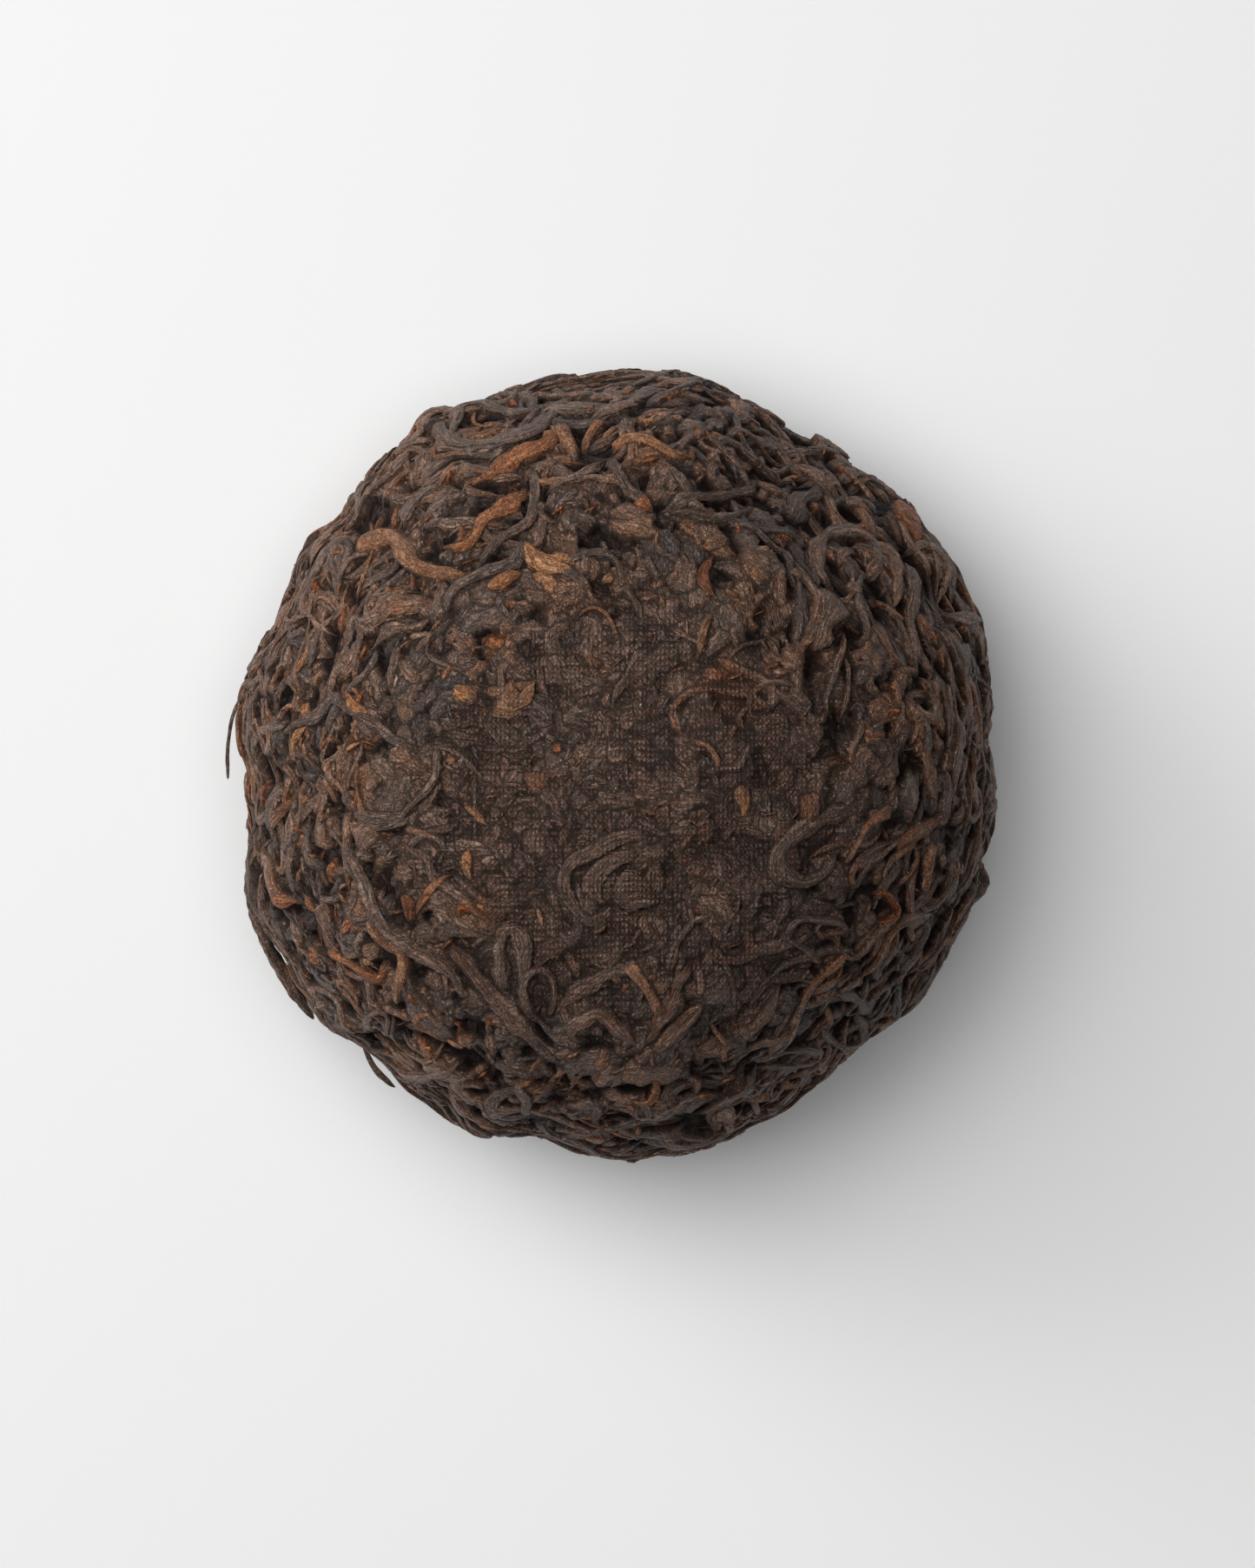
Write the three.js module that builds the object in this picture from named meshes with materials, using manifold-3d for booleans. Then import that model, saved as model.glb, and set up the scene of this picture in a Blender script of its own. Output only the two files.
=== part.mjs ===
// A nest of ripe pu-erh tea, about 100 g, pressed in a cloth bag to a dome with a hollow under it.
// Millimetres, +Z up, dome side up, standing on the flat ring round the hollow.
// The nest is one solid: a lumpy core with the larger rolled leaves that show fused onto it.
import * as THREE from "three";
import { mergeVertices } from "three/addons/utils/BufferGeometryUtils.js";
import Module from "manifold-3d";

// The pressed form
const HALF_WIDTH_X = 40.0;
const HALF_WIDTH_Y = 40.8;
const HEIGHT = 44.6;
const WIDEST_Z = 14.0; // level of the widest girth
const CROWN_SHIFT = new THREE.Vector2(2.0, -4.2); // the crown sits off the middle of the base
const CROWN_POWER = 2.35; // over 2 makes the crown flatter than an ellipse
const BASE_RADIUS = 32.0; // where the flank turns under
const RING_INNER_RADIUS = 25.0; // inner edge of the flat ring that it stands on
const RING_EDGE_WIDTH = 1.6; // of the slope between the ring and the hollow
const RING_EDGE_RISE = 0.5;
const MOUTH_RADIUS = 22.5;
const HOLLOW_DEPTH = 19.0;
const HOLLOW_POWER = 1.8;

// The girth isn't a true oval: so many waves round it, each with its height and the direction of one
// crest; they fade towards the crown by this power of the radius
const GIRTH_WAVE_POWER = 3;
const GIRTH_WAVES = [
  { waves: 3, height: 0.2, crest: -11 },
  { waves: 4, height: 0.36, crest: 16 },
  { waves: 5, height: 0.24, crest: -31 },
  { waves: 6, height: 0.4, crest: -25 },
  { waves: 7, height: 0.36, crest: 24 },
];

// Lumps of the core; the ones that lean run down the flank, and all fade out just above the ring
const LEANING_LUMP_SHARE = 0.5;
const LUMP_LEAN = 0.4;
const LUMPS_FULL_Z = 4.0;
const LUMPS = [
  { height: 0.4, length: 27, turn: 0.4 },
  { height: 0.3, length: 17, turn: 1.9 },
  { height: 0.25, length: 11, turn: 3.6 },
];

// Core facets
const CORE_SIDES = 36;
const CROWN_STEPS = 10;
const FLANK_STEPS = 4;
const HOLLOW_STEPS = 5;

// Rolled leaves
const LEAF_SIDES = 4;
const LEAF_STEPS = 5;
const LEAF_FLATNESS = 0.75; // thickness over width
const LEAF_BLUNTNESS = 0.45; // under 1 fills out the ends of the spindle
const LEAF_TAPER = 0.25; // how much slimmer one end is
const LEAF_STRIDES = 5; // along the route of a lying leaf
const END_TUCK = 0.45; // of its width that each end of a leaf dips into the core
const LEAF_SEED = 20;
const BAND_LEAVES = [
  // one band of leaves at each share of the way from the crown to the rest ring
  { way: 0.12, count: 3, length: 11, width: 2.6, lift: -0.1 },
  { way: 0.34, count: 7, length: 14, width: 2.5, lift: 0.1 },
  { way: 0.48, count: 13, length: 16, width: 2.4, lift: 0.25 },
  { way: 0.61, count: 18, length: 17, width: 2.4, lift: 0.3 },
  { way: 0.74, count: 18, length: 17, width: 2.4, lift: 0.3 },
  { way: 0.88, count: 15, length: 16, width: 2.4, lift: 0.2 },
];
const BAND_JITTER = { way: 0.1, place: 0.7, heading: 1.7, curl: 0.7, drift: 0.5 };
const LEAST_LEAF_SIZE = 0.75; // of the size that its band gives
const LEAF_SIZE_SPREAD = 0.5;
const HOLLOW_LEAVES = { way: 0.45, count: 8, length: 11, width: 2.3, lift: 0.1 };

// The leaves that stand out most on the upper side, as seen from above
const SHOWN_LIFT = 0.3;
const SHOWN_LEAVES = {
  thick_leaf: { width: 2.4, way: [[-17.2, -18.5], [-14.5, -21.8], [-11.7, -24.8], [-8.1, -28.5], [-5.4, -30.5]] },
  long_leaf: { width: 1.9, way: [[-27.4, -8.7], [-24.9, -14.4], [-21, -18.7], [-16.9, -21.4], [-14.6, -23.9]] },
  dark_hook: { width: 1.7, way: [[-8.8, 30.4], [-8.5, 27.6], [-10, 22.7], [-15, 19], [-17.9, 15.8]] },
  tan_arm: { width: 1.9, way: [[-26.7, 21.9], [-22.8, 23.3], [-20.7, 20.6], [-15.5, 19.2]] },
  golden_fan: { width: 2.4, way: [[-6.2, 33.7], [-10.6, 30.9], [-15, 28.8]] },
  golden_curl: { width: 1.7, way: [[-10.4, 28.9], [-11.2, 27.2], [-14.2, 24.1], [-18.4, 22.7]] },
  grey_fold: { width: 3, way: [[-17.7, 33.2], [-13.4, 32.8], [-9.3, 34.2], [-6, 36]] },
  tan_bow: { width: 1.6, way: [[-0.6, 31.6], [1.3, 33], [4.8, 32.2], [7.5, 31.2]] },
  dark_lens: { width: 1.9, way: [[5.3, 26.5], [9.9, 27.7], [13.7, 28.2], [14.4, 30]] },
  right_spiral: { width: 2, way: [[22.2, 18.7], [20.3, 21.5], [21.5, 23.6], [24.4, 23.8], [26.3, 21.6]] },
  gilded_leaf: { width: 2.1, way: [[26.6, 22.9], [28, 21], [28.4, 18.8], [28.4, 15.6]] },
  right_rib: { width: 2.1, way: [[30.4, 20.9], [31, 16.1], [31.4, 10.6]] },
  left_bend: { width: 1.7, way: [[-34.4, 2.9], [-30.4, 5.4], [-27.4, 5.7], [-22.9, 2.6], [-20.6, 1.9]] },
  oval_loop: { width: 2.1, way: [[24.9, -4.6], [19.6, -6.2], [16.5, -9.2], [19, -11.9], [22.8, -9.6]] },
  tan_stub: { width: 2, way: [[33.6, -5.2], [31, -6.7], [29, -7.9], [28.4, -9.6]] },
  dark_stub: { width: 2, way: [[32, -7.7], [31.8, -10.6], [31.2, -13.8]] },
  hairpin: { width: 1.8, way: [[-12.1, -23.6], [-12.3, -18.8], [-10.7, -16.6], [-9.1, -18.8], [-9.5, -23.8]] },
  centre_fold: { width: 2.2, way: [[-2.6, -16], [-5.2, -13.9], [-5.4, -10.9], [-3.3, -9.1], [0.8, -7.5]] },
  bottom_leaf: { width: 2.2, way: [[8.2, -19.4], [5.6, -23.3], [2.9, -29]] },
};

// Leaves that stand off the outline, from the end held in the cake to the free tip
const LOOSE_LEAVES = {
  left_hair: {
    width: 0.8,
    route: [
      [-37.4, 9.6, 15.4],
      [-39.7, 7.4, 15.2],
      [-40.6, 5.2, 15.0],
      [-41.1, 1.6, 14.6],
      [-41.0, -1.8, 14.2],
    ],
  },
  left_hanging: {
    width: 1.4,
    route: [
      [-37.2, -7.2, 14.8],
      [-39.0, -12.0, 14.0],
      [-38.2, -15.6, 13.2],
      [-36.8, -19.2, 12.4],
      [-34.6, -23.2, 11.6],
      [-31.8, -27.3, 11.0],
    ],
  },
  lower_left_tail: {
    width: 0.9,
    route: [
      [-27.4, -26.6, 13.4],
      [-26.2, -31.2, 12.4],
      [-24.9, -33.0, 11.8],
      [-23.0, -34.4, 11.4],
    ],
  },
  right_nub: {
    width: 1.0,
    route: [
      [36.2, -8.6, 14.6],
      [39.3, -11.0, 14.0],
      [39.4, -12.6, 13.4],
      [36.4, -15.6, 12.8],
    ],
  },
};

const WELD = 1e-4; // corners nearer than this are one
const POLE_RADIUS = 4; // leaves nearer the crown than this turn no tighter
const CLOSING_STEPS = 12;
const UNDER_RIM = 0.999; // unit radius that a point seen from above stays within
const TABLE_SPANS = 3; // size of the cutting block under the ring, in half widths
const LEAF_COLOUR = 0x44352d;

const wasm = await Module();
wasm.setup();

// A number from 0 up to 1 each call, the same run after run
function seededDraws(seed) {
  let state = seed;
  return () => {
    state = (Math.imul(state, 1664525) + 1013904223) >>> 0;
    return state / 2 ** 32;
  };
}

// Height of the core's lumps at a point, as waves in three directions
function lumpAt(p) {
  let sum = 0;
  for (const { height, length, turn } of LUMPS) {
    const k = (2 * Math.PI) / length;
    sum += height * Math.sin(k * p.x + turn) * Math.cos(k * p.y - turn);
    sum += LEANING_LUMP_SHARE * height * Math.sin(k * (p.z + p.x * LUMP_LEAN) + 2 * turn);
  }
  return sum;
}

function girthWaveAt(angle) {
  let sum = 0;
  for (const { waves, height, crest } of GIRTH_WAVES) {
    sum += height * Math.cos(waves * (angle - THREE.MathUtils.degToRad(crest)));
  }
  return sum;
}

function crownHeight(unitRadius) {
  return WIDEST_Z + (HEIGHT - WIDEST_Z) * Math.sqrt(1 - unitRadius ** CROWN_POWER);
}

// The outside from the crown to the ring, as radius and height for a half-width of 1
function crownProfile(share) {
  const r = Math.min(1, Math.sin((share * Math.PI) / 2));
  return new THREE.Vector2(r, crownHeight(r));
}

function flankProfile(share) {
  const turn = (share * Math.PI) / 2;
  const base = BASE_RADIUS / HALF_WIDTH_X;
  return new THREE.Vector2(base + (1 - base) * Math.cos(turn), WIDEST_Z * (1 - Math.sin(turn)));
}

function hollowProfile(share) {
  const r = MOUTH_RADIUS * (1 - share);
  return new THREE.Vector2(r / HALF_WIDTH_X, HOLLOW_DEPTH * (1 - (r / MOUTH_RADIUS) ** HOLLOW_POWER));
}

function steps(count, profile) {
  return Array.from({ length: count }, (_, i) => profile((i + 1) / count));
}

const outsideProfile = [
  new THREE.Vector2(0, HEIGHT),
  ...steps(CROWN_STEPS, crownProfile),
  ...steps(FLANK_STEPS, flankProfile),
];
const undersideProfile = [
  new THREE.Vector2(RING_INNER_RADIUS / HALF_WIDTH_X, 0),
  new THREE.Vector2((RING_INNER_RADIUS - RING_EDGE_WIDTH) / HALF_WIDTH_X, RING_EDGE_RISE),
  ...steps(HOLLOW_STEPS, hollowProfile),
];

// Puts a point of the unit-wide form at its real place, with the oval girth, the leaning crown and the lumps
function pressed(unitRadius, angle, z) {
  const lean = Math.max(0, (z - WIDEST_Z) / (HEIGHT - WIDEST_Z));
  const p = new THREE.Vector3(
    unitRadius * HALF_WIDTH_X * Math.cos(angle) + CROWN_SHIFT.x * lean,
    unitRadius * HALF_WIDTH_Y * Math.sin(angle) + CROWN_SHIFT.y * lean,
    z,
  );
  const fromFloor = THREE.MathUtils.smoothstep(z, 0, LUMPS_FULL_Z);
  const wave = girthWaveAt(angle) * unitRadius ** GIRTH_WAVE_POWER;
  const out = new THREE.Vector3(Math.cos(angle) * unitRadius, Math.sin(angle) * unitRadius, lean ** 2);
  return p.addScaledVector(out.normalize(), (lumpAt(p) + wave) * fromFloor);
}

function coreGeometry() {
  const outline = [...outsideProfile, ...undersideProfile].reverse();
  const g = new THREE.LatheGeometry(outline, CORE_SIDES);
  const at = g.getAttribute("position");
  for (let i = 0; i < at.count; i++) {
    const angle = Math.atan2(-at.getZ(i), at.getX(i));
    const radius = Math.hypot(at.getX(i), at.getZ(i));
    const p = pressed(radius, radius < 1e-9 ? 0 : angle, at.getY(i));
    at.setXYZ(i, p.x, p.y, p.z);
  }
  return g;
}

// Lengths along a profile, so that leaves can be laid by real distance
function measured(profile) {
  const points = profile.map((q) => new THREE.Vector2(q.x * HALF_WIDTH_X, q.y));
  const lengths = [0];
  for (let i = 1; i < points.length; i++) {
    lengths.push(lengths[i - 1] + points[i].distanceTo(points[i - 1]));
  }
  return { points, lengths, total: lengths.at(-1) };
}

function pointOn(line, along, angle) {
  const d = THREE.MathUtils.clamp(along, 0, line.total);
  let i = 1;
  while (i < line.lengths.length - 1 && line.lengths[i] < d) i++;
  const share = (d - line.lengths[i - 1]) / (line.lengths[i] - line.lengths[i - 1]);
  const q = line.points[i - 1].clone().lerp(line.points[i], share);
  return pressed(q.x / HALF_WIDTH_X, angle, q.y);
}

// Outward direction of the form at a place on it
function normalOn(line, along, angle) {
  const small = 0.5;
  const r = Math.max(1, Math.hypot(pointOn(line, along, angle).x, pointOn(line, along, angle).y));
  const down = pointOn(line, along + small, angle).sub(pointOn(line, along - small, angle));
  const round = pointOn(line, along, angle + small / r).sub(pointOn(line, along, angle - small / r));
  return down.cross(round).normalize();
}

// The point of the form under a point seen from above, found by closing in on it
function fromAbove(x, y) {
  const guess = new THREE.Vector2(x / HALF_WIDTH_X, y / HALF_WIDTH_Y);
  let p;
  for (let i = 0; i < CLOSING_STEPS; i++) {
    const radius = Math.min(UNDER_RIM, guess.length());
    p = pressed(radius, guess.angle(), crownHeight(radius));
    guess.x += (x - p.x) / HALF_WIDTH_X;
    guess.y += (y - p.y) / HALF_WIDTH_Y;
  }
  return p;
}

function normalFromAbove(x, y) {
  const small = 0.3;
  const across = fromAbove(x + small, y).sub(fromAbove(x - small, y));
  const along = fromAbove(x, y + small).sub(fromAbove(x, y - small));
  return across.cross(along).normalize();
}

// A leaf rolled to a spindle along +Y, of length 1 and radius 1, to be bent onto a route
function spindle(leafSteps) {
  const outline = [new THREE.Vector2(0, 0)];
  for (let i = 1; i < leafSteps; i++) {
    const share = i / leafSteps;
    const r = Math.sin(Math.PI * share) ** LEAF_BLUNTNESS * (1 - LEAF_TAPER * share);
    outline.push(new THREE.Vector2(r, share));
  }
  outline.push(new THREE.Vector2(0, 1));
  return new THREE.LatheGeometry(outline, LEAF_SIDES);
}

function leafGeometry(route, normals, width, leafSteps) {
  const g = spindle(leafSteps);
  const at = g.getAttribute("position");
  const curve = new THREE.CatmullRomCurve3(route);
  const normalCurve = new THREE.CatmullRomCurve3(normals);
  for (let i = 0; i < at.count; i++) {
    const share = at.getY(i);
    const up = normalCurve.getPoint(share).normalize();
    const side = curve.getTangent(share).cross(up).normalize();
    const p = curve
      .getPoint(share)
      .addScaledVector(side, (at.getX(i) * width) / 2)
      .addScaledVector(up, (at.getZ(i) * width * LEAF_FLATNESS) / 2);
    at.setXYZ(i, p.x, p.y, p.z);
  }
  return g;
}

// A leaf that lies on the form and curls as it goes
function lyingLeaf(line, draw, start, { length, width, lift, curl }) {
  const route = [];
  const normals = [];
  const stride = length / LEAF_STRIDES;
  let { along, angle, heading } = start;
  for (let i = 0; i <= LEAF_STRIDES; i++) {
    const sink = i === 0 || i === LEAF_STRIDES ? END_TUCK * width : 0;
    const n = normalOn(line, along, angle);
    const p = pointOn(line, along, angle);
    route.push(p.clone().addScaledVector(n, lift - sink));
    normals.push(n);
    along += stride * Math.sin(heading);
    angle += (stride * Math.cos(heading)) / Math.max(POLE_RADIUS, Math.hypot(p.x, p.y));
    heading += curl + (draw() - 0.5) * BAND_JITTER.drift;
  }
  return leafGeometry(route, normals, width, LEAF_STEPS);
}

function shownLeaf({ width, way }) {
  const normals = way.map(([x, y]) => normalFromAbove(x, y));
  const route = way.map(([x, y], i) => {
    const atEnd = i === 0 || i === way.length - 1;
    return fromAbove(x, y).addScaledVector(normals[i], SHOWN_LIFT - (atEnd ? END_TUCK * width : 0));
  });
  return leafGeometry(route, normals, width, way.length + 2);
}

function bandOfLeaves(line, draw, { way, count, length, width, lift }) {
  return Array.from({ length: count }, (_, i) => {
    const start = {
      along: line.total * (way + (draw() - 0.5) * BAND_JITTER.way),
      angle: ((i + BAND_JITTER.place * draw()) / count) * 2 * Math.PI,
      heading: (draw() - 0.5) * BAND_JITTER.heading,
    };
    const size = LEAST_LEAF_SIZE + LEAF_SIZE_SPREAD * draw();
    const curl = (draw() - 0.5) * BAND_JITTER.curl;
    return lyingLeaf(line, draw, start, { length: length * size, width: width * size, lift, curl });
  });
}

function looseLeaf({ width, route }) {
  const points = route.map(([x, y, z]) => new THREE.Vector3(x, y, z));
  const normals = points.map((p) => new THREE.Vector3(p.x, p.y, 0).normalize());
  return leafGeometry(points, normals, width, points.length + 1);
}

function manifoldOf(vertProperties, triVerts) {
  return new wasm.Manifold(new wasm.Mesh({ numProp: 3, vertProperties, triVerts }));
}

// The same faces turned the other way round
function turnedOut(faces) {
  const turned = faces.slice();
  for (let i = 0; i < turned.length; i += 3) {
    [turned[i + 1], turned[i + 2]] = [turned[i + 2], turned[i + 1]];
  }
  return turned;
}

// The solid inside a closed surface, whichever way its faces look
function solidOf(geometry) {
  const bare = geometry.clone();
  bare.deleteAttribute("normal");
  bare.deleteAttribute("uv");
  const merged = mergeVertices(bare, WELD);
  const corners = merged.attributes.position.array;
  const faces = new Uint32Array(merged.index.array);
  const made = manifoldOf(corners, faces);
  return made.volume() < 0 ? manifoldOf(corners, turnedOut(faces)) : made;
}

// The outer shell alone, with any pocket sealed between leaves filled and any loose scrap dropped
function outerShell(solid) {
  return solid.decompose().sort((a, b) => b.volume() - a.volume())[0];
}

function geometryOf(solid) {
  const mesh = solid.getMesh();
  const at = new Float32Array(mesh.numVert * 3);
  for (let i = 0; i < mesh.numVert; i++) {
    at.set(mesh.vertProperties.subarray(i * mesh.numProp, i * mesh.numProp + 3), i * 3);
  }
  const g = new THREE.BufferGeometry();
  g.setAttribute("position", new THREE.BufferAttribute(at, 3));
  g.setIndex(new THREE.BufferAttribute(mesh.triVerts, 1));
  g.computeVertexNormals();
  return g;
}

function teaCake() {
  const draw = seededDraws(LEAF_SEED);
  const outside = measured(outsideProfile);
  const hollow = measured(undersideProfile.slice(2));
  const leaves = [
    ...BAND_LEAVES.flatMap((band) => bandOfLeaves(outside, draw, band)),
    ...bandOfLeaves(hollow, draw, HOLLOW_LEAVES),
    ...Object.values(SHOWN_LEAVES).map(shownLeaf),
    ...Object.values(LOOSE_LEAVES).map(looseLeaf),
  ];
  const joined = wasm.Manifold.union([coreGeometry(), ...leaves].map(solidOf));
  const table = new THREE.BoxGeometry(TABLE_SPANS * HALF_WIDTH_X, TABLE_SPANS * HALF_WIDTH_Y, HEIGHT);
  table.translate(0, 0, -HEIGHT / 2);
  return outerShell(joined.subtract(solidOf(table)));
}

const geometry = geometryOf(teaCake());
geometry.computeBoundingBox();
const middle = geometry.boundingBox.getCenter(new THREE.Vector3());
geometry.translate(-middle.x, -middle.y, 0);

const cake = new THREE.Mesh(
  geometry,
  new THREE.MeshStandardMaterial({ color: LEAF_COLOUR, roughness: 0.75, metalness: 0 }),
);
cake.name = "tea_cake";

const nest = new THREE.Group();
nest.add(cake);

export default nest;
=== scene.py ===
# A nest of ripe pu-erh tea: rolled leaves laid on a dome one by one, then pressed.
# Lengths are in millimetres until a mesh is made; the frame and the studio are in metres.
import math
from typing import NamedTuple

import bpy
import numpy as np
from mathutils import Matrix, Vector


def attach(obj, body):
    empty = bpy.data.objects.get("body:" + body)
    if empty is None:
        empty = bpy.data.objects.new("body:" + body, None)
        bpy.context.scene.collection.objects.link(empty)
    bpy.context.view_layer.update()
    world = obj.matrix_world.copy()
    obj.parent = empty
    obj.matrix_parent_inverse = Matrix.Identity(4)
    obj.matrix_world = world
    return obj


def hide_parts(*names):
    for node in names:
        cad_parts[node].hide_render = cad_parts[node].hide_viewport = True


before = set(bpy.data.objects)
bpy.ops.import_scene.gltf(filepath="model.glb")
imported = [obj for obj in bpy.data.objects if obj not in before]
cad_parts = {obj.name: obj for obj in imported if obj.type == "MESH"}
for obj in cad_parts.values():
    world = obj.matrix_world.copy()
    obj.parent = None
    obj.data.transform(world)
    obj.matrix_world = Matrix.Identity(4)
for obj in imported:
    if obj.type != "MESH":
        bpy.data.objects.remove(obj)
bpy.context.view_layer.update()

NODE = "tea_cake"
MM = 0.001

# The pressed form, as the frame's solid has it
HALF_WIDTH = (40.0, 40.8)
HEIGHT = 44.6
WIDEST_Z = 14.0
CROWN_SHIFT = (2.0, -4.2)
CROWN_POWER = 2.35
BASE_RADIUS = 32.0
RING_INNER_RADIUS = 25.0
RING_EDGE = (23.4, 0.5)
MOUTH_RADIUS = 22.5
HOLLOW_DEPTH = 19.0
HOLLOW_POWER = 1.8
GIRTH_WAVES = ((3, 0.2, -11), (4, 0.36, 16), (5, 0.24, -31), (6, 0.4, -25), (7, 0.36, 24))
LUMPS = ((0.4, 27, 0.4), (0.3, 17, 1.9), (0.25, 11, 3.6))
# Narrower swells of the girth, that the solid leaves to its leaves: direction and half width in degrees,
# and height
SWELLS = (
    (79, 8, 2.1), (45, 4, 0.6), (57, 3, 0.8), (25, 4, 0.6), (94, 3, -0.8), (112, 4, -0.8), (117, 3, 1.2),
    (135, 5, -0.9), (143, 3, 0.4), (155, 4, -1.0), (180, 2, -0.8), (187, 5, -1.3), (228, 6, -1.0),
    (220, 2, 0.8), (246, 4, 0.9), (258, 5, -1.5), (285, 12, -0.5), (315, 20, -1.4), (330, 8, -0.6),
)
FORM_PLACE = (0.28, -0.25)  # the round form's middle, beside the middle of the whole outline
MEAN_HALF = sum(HALF_WIDTH) / 2
CROWN_POINTS = 160  # of its outline

# The photograph's frame: pixels, and what one is worth at the widest girth
PHOTO_SIZE = (1445, 1806)
PHOTO_MIDDLE = (722.5, 903.0)
OUTLINE_MIDDLE = (705.5, 880.5)
PIXEL = 0.092
CAMERA_RISE = 600.0  # above the girth
CAMERA_AT = (
    (PHOTO_MIDDLE[0] - OUTLINE_MIDDLE[0]) * PIXEL,
    (OUTLINE_MIDDLE[1] - PHOTO_MIDDLE[1]) * PIXEL,
)

# How leaves are laid
OUTSIDE_REACH = 78.0  # of leaves from the crown's pole along the form, on to the flat ring
UNDERSIDE_REACH = 42.0  # of leaves from the hollow's pole, over the flat ring
MAP_MARGIN = 6.0  # of the height map beyond that reach
CELL = 0.2  # of the height map
STRETCH_STEP = 0.25  # between the distances at which a side's stretch is kept
STEP = 0.35  # between points of a leaf's path
HEADING_SPREAD = 0.85  # of leaves away from the grain, in radians
TONE_CHANGE = 0.15  # at most, from a leaf's start to its end
SKIN_EDGE = 3.0  # how ragged the line is beyond which a bed's leaves leave the skin
SUNK = 0.3  # how far the skin stays under a leaf that has a mesh of its own
COVER = 0.3  # how much must lie over a leaf to hide it
SEED = 7

# How a leaf is creased
TWIST = 0.09  # of its section, in radians for each millimetre
TWIST_WANDER = 0.35
SEAM_AT = (40, 140)  # degrees round the section
SEAM_WIDTH = 0.3  # in radians
LUMPINESS = 0.05
EDGE_TEAR = 0.7  # length of the tears that make an edge ragged
WIDTH_CHANGE = 0.18  # along a leaf
FINEST_TIP = 0.06  # of the leaf's width
UPPER = slice(2, -1)  # points round the section that the cloth touches

# How the cloth presses leaves; a pair is the value where the leaf is free and where it is fully flat
SMOOTH = 2.4  # width of the blur that gives the cloth's own surface
PRESSED_MIDDLE = (0.6, -1.6)  # of the crown that the cloth flattened, on the outside chart
PRESSED_RADIUS = (16.0, 31.0)  # fully flat inside the first, free beyond the second
UNDERSIDE_FLAT = 0.25  # how flat the leaves of the hollow and the ring are
PROUD_FREE = 0.85  # how much of the pressing a leaf that stands proud is spared
HIGHEST = (1.2, 0.14)  # that a leaf stands over the cloth
DEEPEST = (1.1, 0.25)  # that a gap goes under it
RISE = (0.7, 0.4)  # share of a leaf's own height that is left to it
FALL = (0.8, 0.4)  # share of a gap's own depth that is left to it
# painted shade that a gap gets in the leaf's colour, where the leaf is free and where it is flat
GAP_PAINTED_SHADE = (1.0, 0.25)
SKIN_LIFT = (0.1, 0.0)
FLAT_LAYER = 0.4  # thickness of the layer that the ring's leaves are pressed into by the table

# How meshes are made
ROW_STEPS = 1.9  # steps of a leaf's path for each row of its mesh
GUTTER = 0.4  # between strips of the picture that the finish is kept in
SKIN_CELL = 0.25  # side of a skin's face in that picture
SHELF_SLACK = 1.08  # of that picture's width, so that the strips fill a square
CROWN_TONE = 0.4  # that the pressed crown comes near to, leaf by leaf
CROWN_EVENNESS = 0.5  # how near

# The pieces that dark leaves of the outside belong to: within what distance from the crown's pole
LEAF_PIECES = {"crown_leaves": 32.0, "shoulder_leaves": 49.5, "flank_leaves": 61.0, "foot_leaves": math.inf}

# Sizes of the patterns on a leaf, and how high they stand
CREASES = (0.3, 1.7, 1)  # for each millimetre along and across the leaf
CRUMPLE = 0.8
DUST = 0.2  # of fibres and dust that are really 0.1, drawn coarser so that they show
PATCH = 5.0
FLECK = 0.6
GLINT_PITCH = 2.4
GLINT_RADIUS = 0.035  # of that pitch
THREAD_PITCH = (0.45, 0.6)  # of the cloth print, really 0.35 and 0.49, drawn coarser so that it shows
WAVE_LENGTH = 2 * math.pi / 20  # of the wave pattern at scale 1
RELIEF = {"crumple": 0.22, "crack": 0.15, "dust": 0.04, "pit": -0.2}

# Tone of the patterns, and their shades: painted shade along crease lines, cracks, gaps and the print's
# pits, and the dust's own mottle
TONES = {"patch": 0.8, "groove": 0.5}  # how much they shift a leaf's tone
DUST_AND_PAINTED_SHADES = {
    # painted shade along the crease lines of a leaf
    "crease": ((0.0, "#a59486"), (0.5, "#ffffff")),
    # painted shade along the cracks of crumpled leaf
    "crack": ((0.0, "#725f53"), (0.5, "#ffffff")),
    "dust": ((0.3, "#8d7d71"), (0.65, "#ffffff")),
    # painted shade in the gaps between leaves and on the sides away from the lamps, less of it where painted
    # light offsets it
    "depth": ((0.0, "#ffffff"), (0.65, "#563f30")),
    # painted shade in the pits that the cloth's threads printed
    "pit": ((0.0, "#ffffff"), (1.0, "#b5a99f")),
}
PATINA = "#95827b"
PATINA_SHARE = 0.6
RUST = "#ffc894"
RUST_SHARE = 0.8
# painted glints: pale specks that stand in for tiny highlights
PAINTED_GLINT = "#b9b0a5"

# The studio's lamps: place, size and power
LAMPS = {
    "window": ((-0.539, 0.286, 0.702), 1.0, 4.95),
    "far_window": ((-1.276, 0.736, 0.625), 0.9, 8.0),
    "overhead": ((-0.089, 0.089, 0.891), 1.0, 4.95),
}
ROOM_LIGHT = 0.02
FLOOR_HALF = 6.0
SENSOR_WIDTH = 36.0

rng = np.random.default_rng(SEED)


# Form

def lump_at(x, y, z):
    """How far the form swells out or in at a point, in lumps of leaves."""
    total = 0.0
    for height, length, turn in LUMPS:
        k = 2 * math.pi / length
        total = total + height * np.sin(k * x + turn) * np.cos(k * y - turn)
        total = total + 0.5 * height * np.sin(k * (z + x * 0.4) + 2 * turn)
    return total


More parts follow.
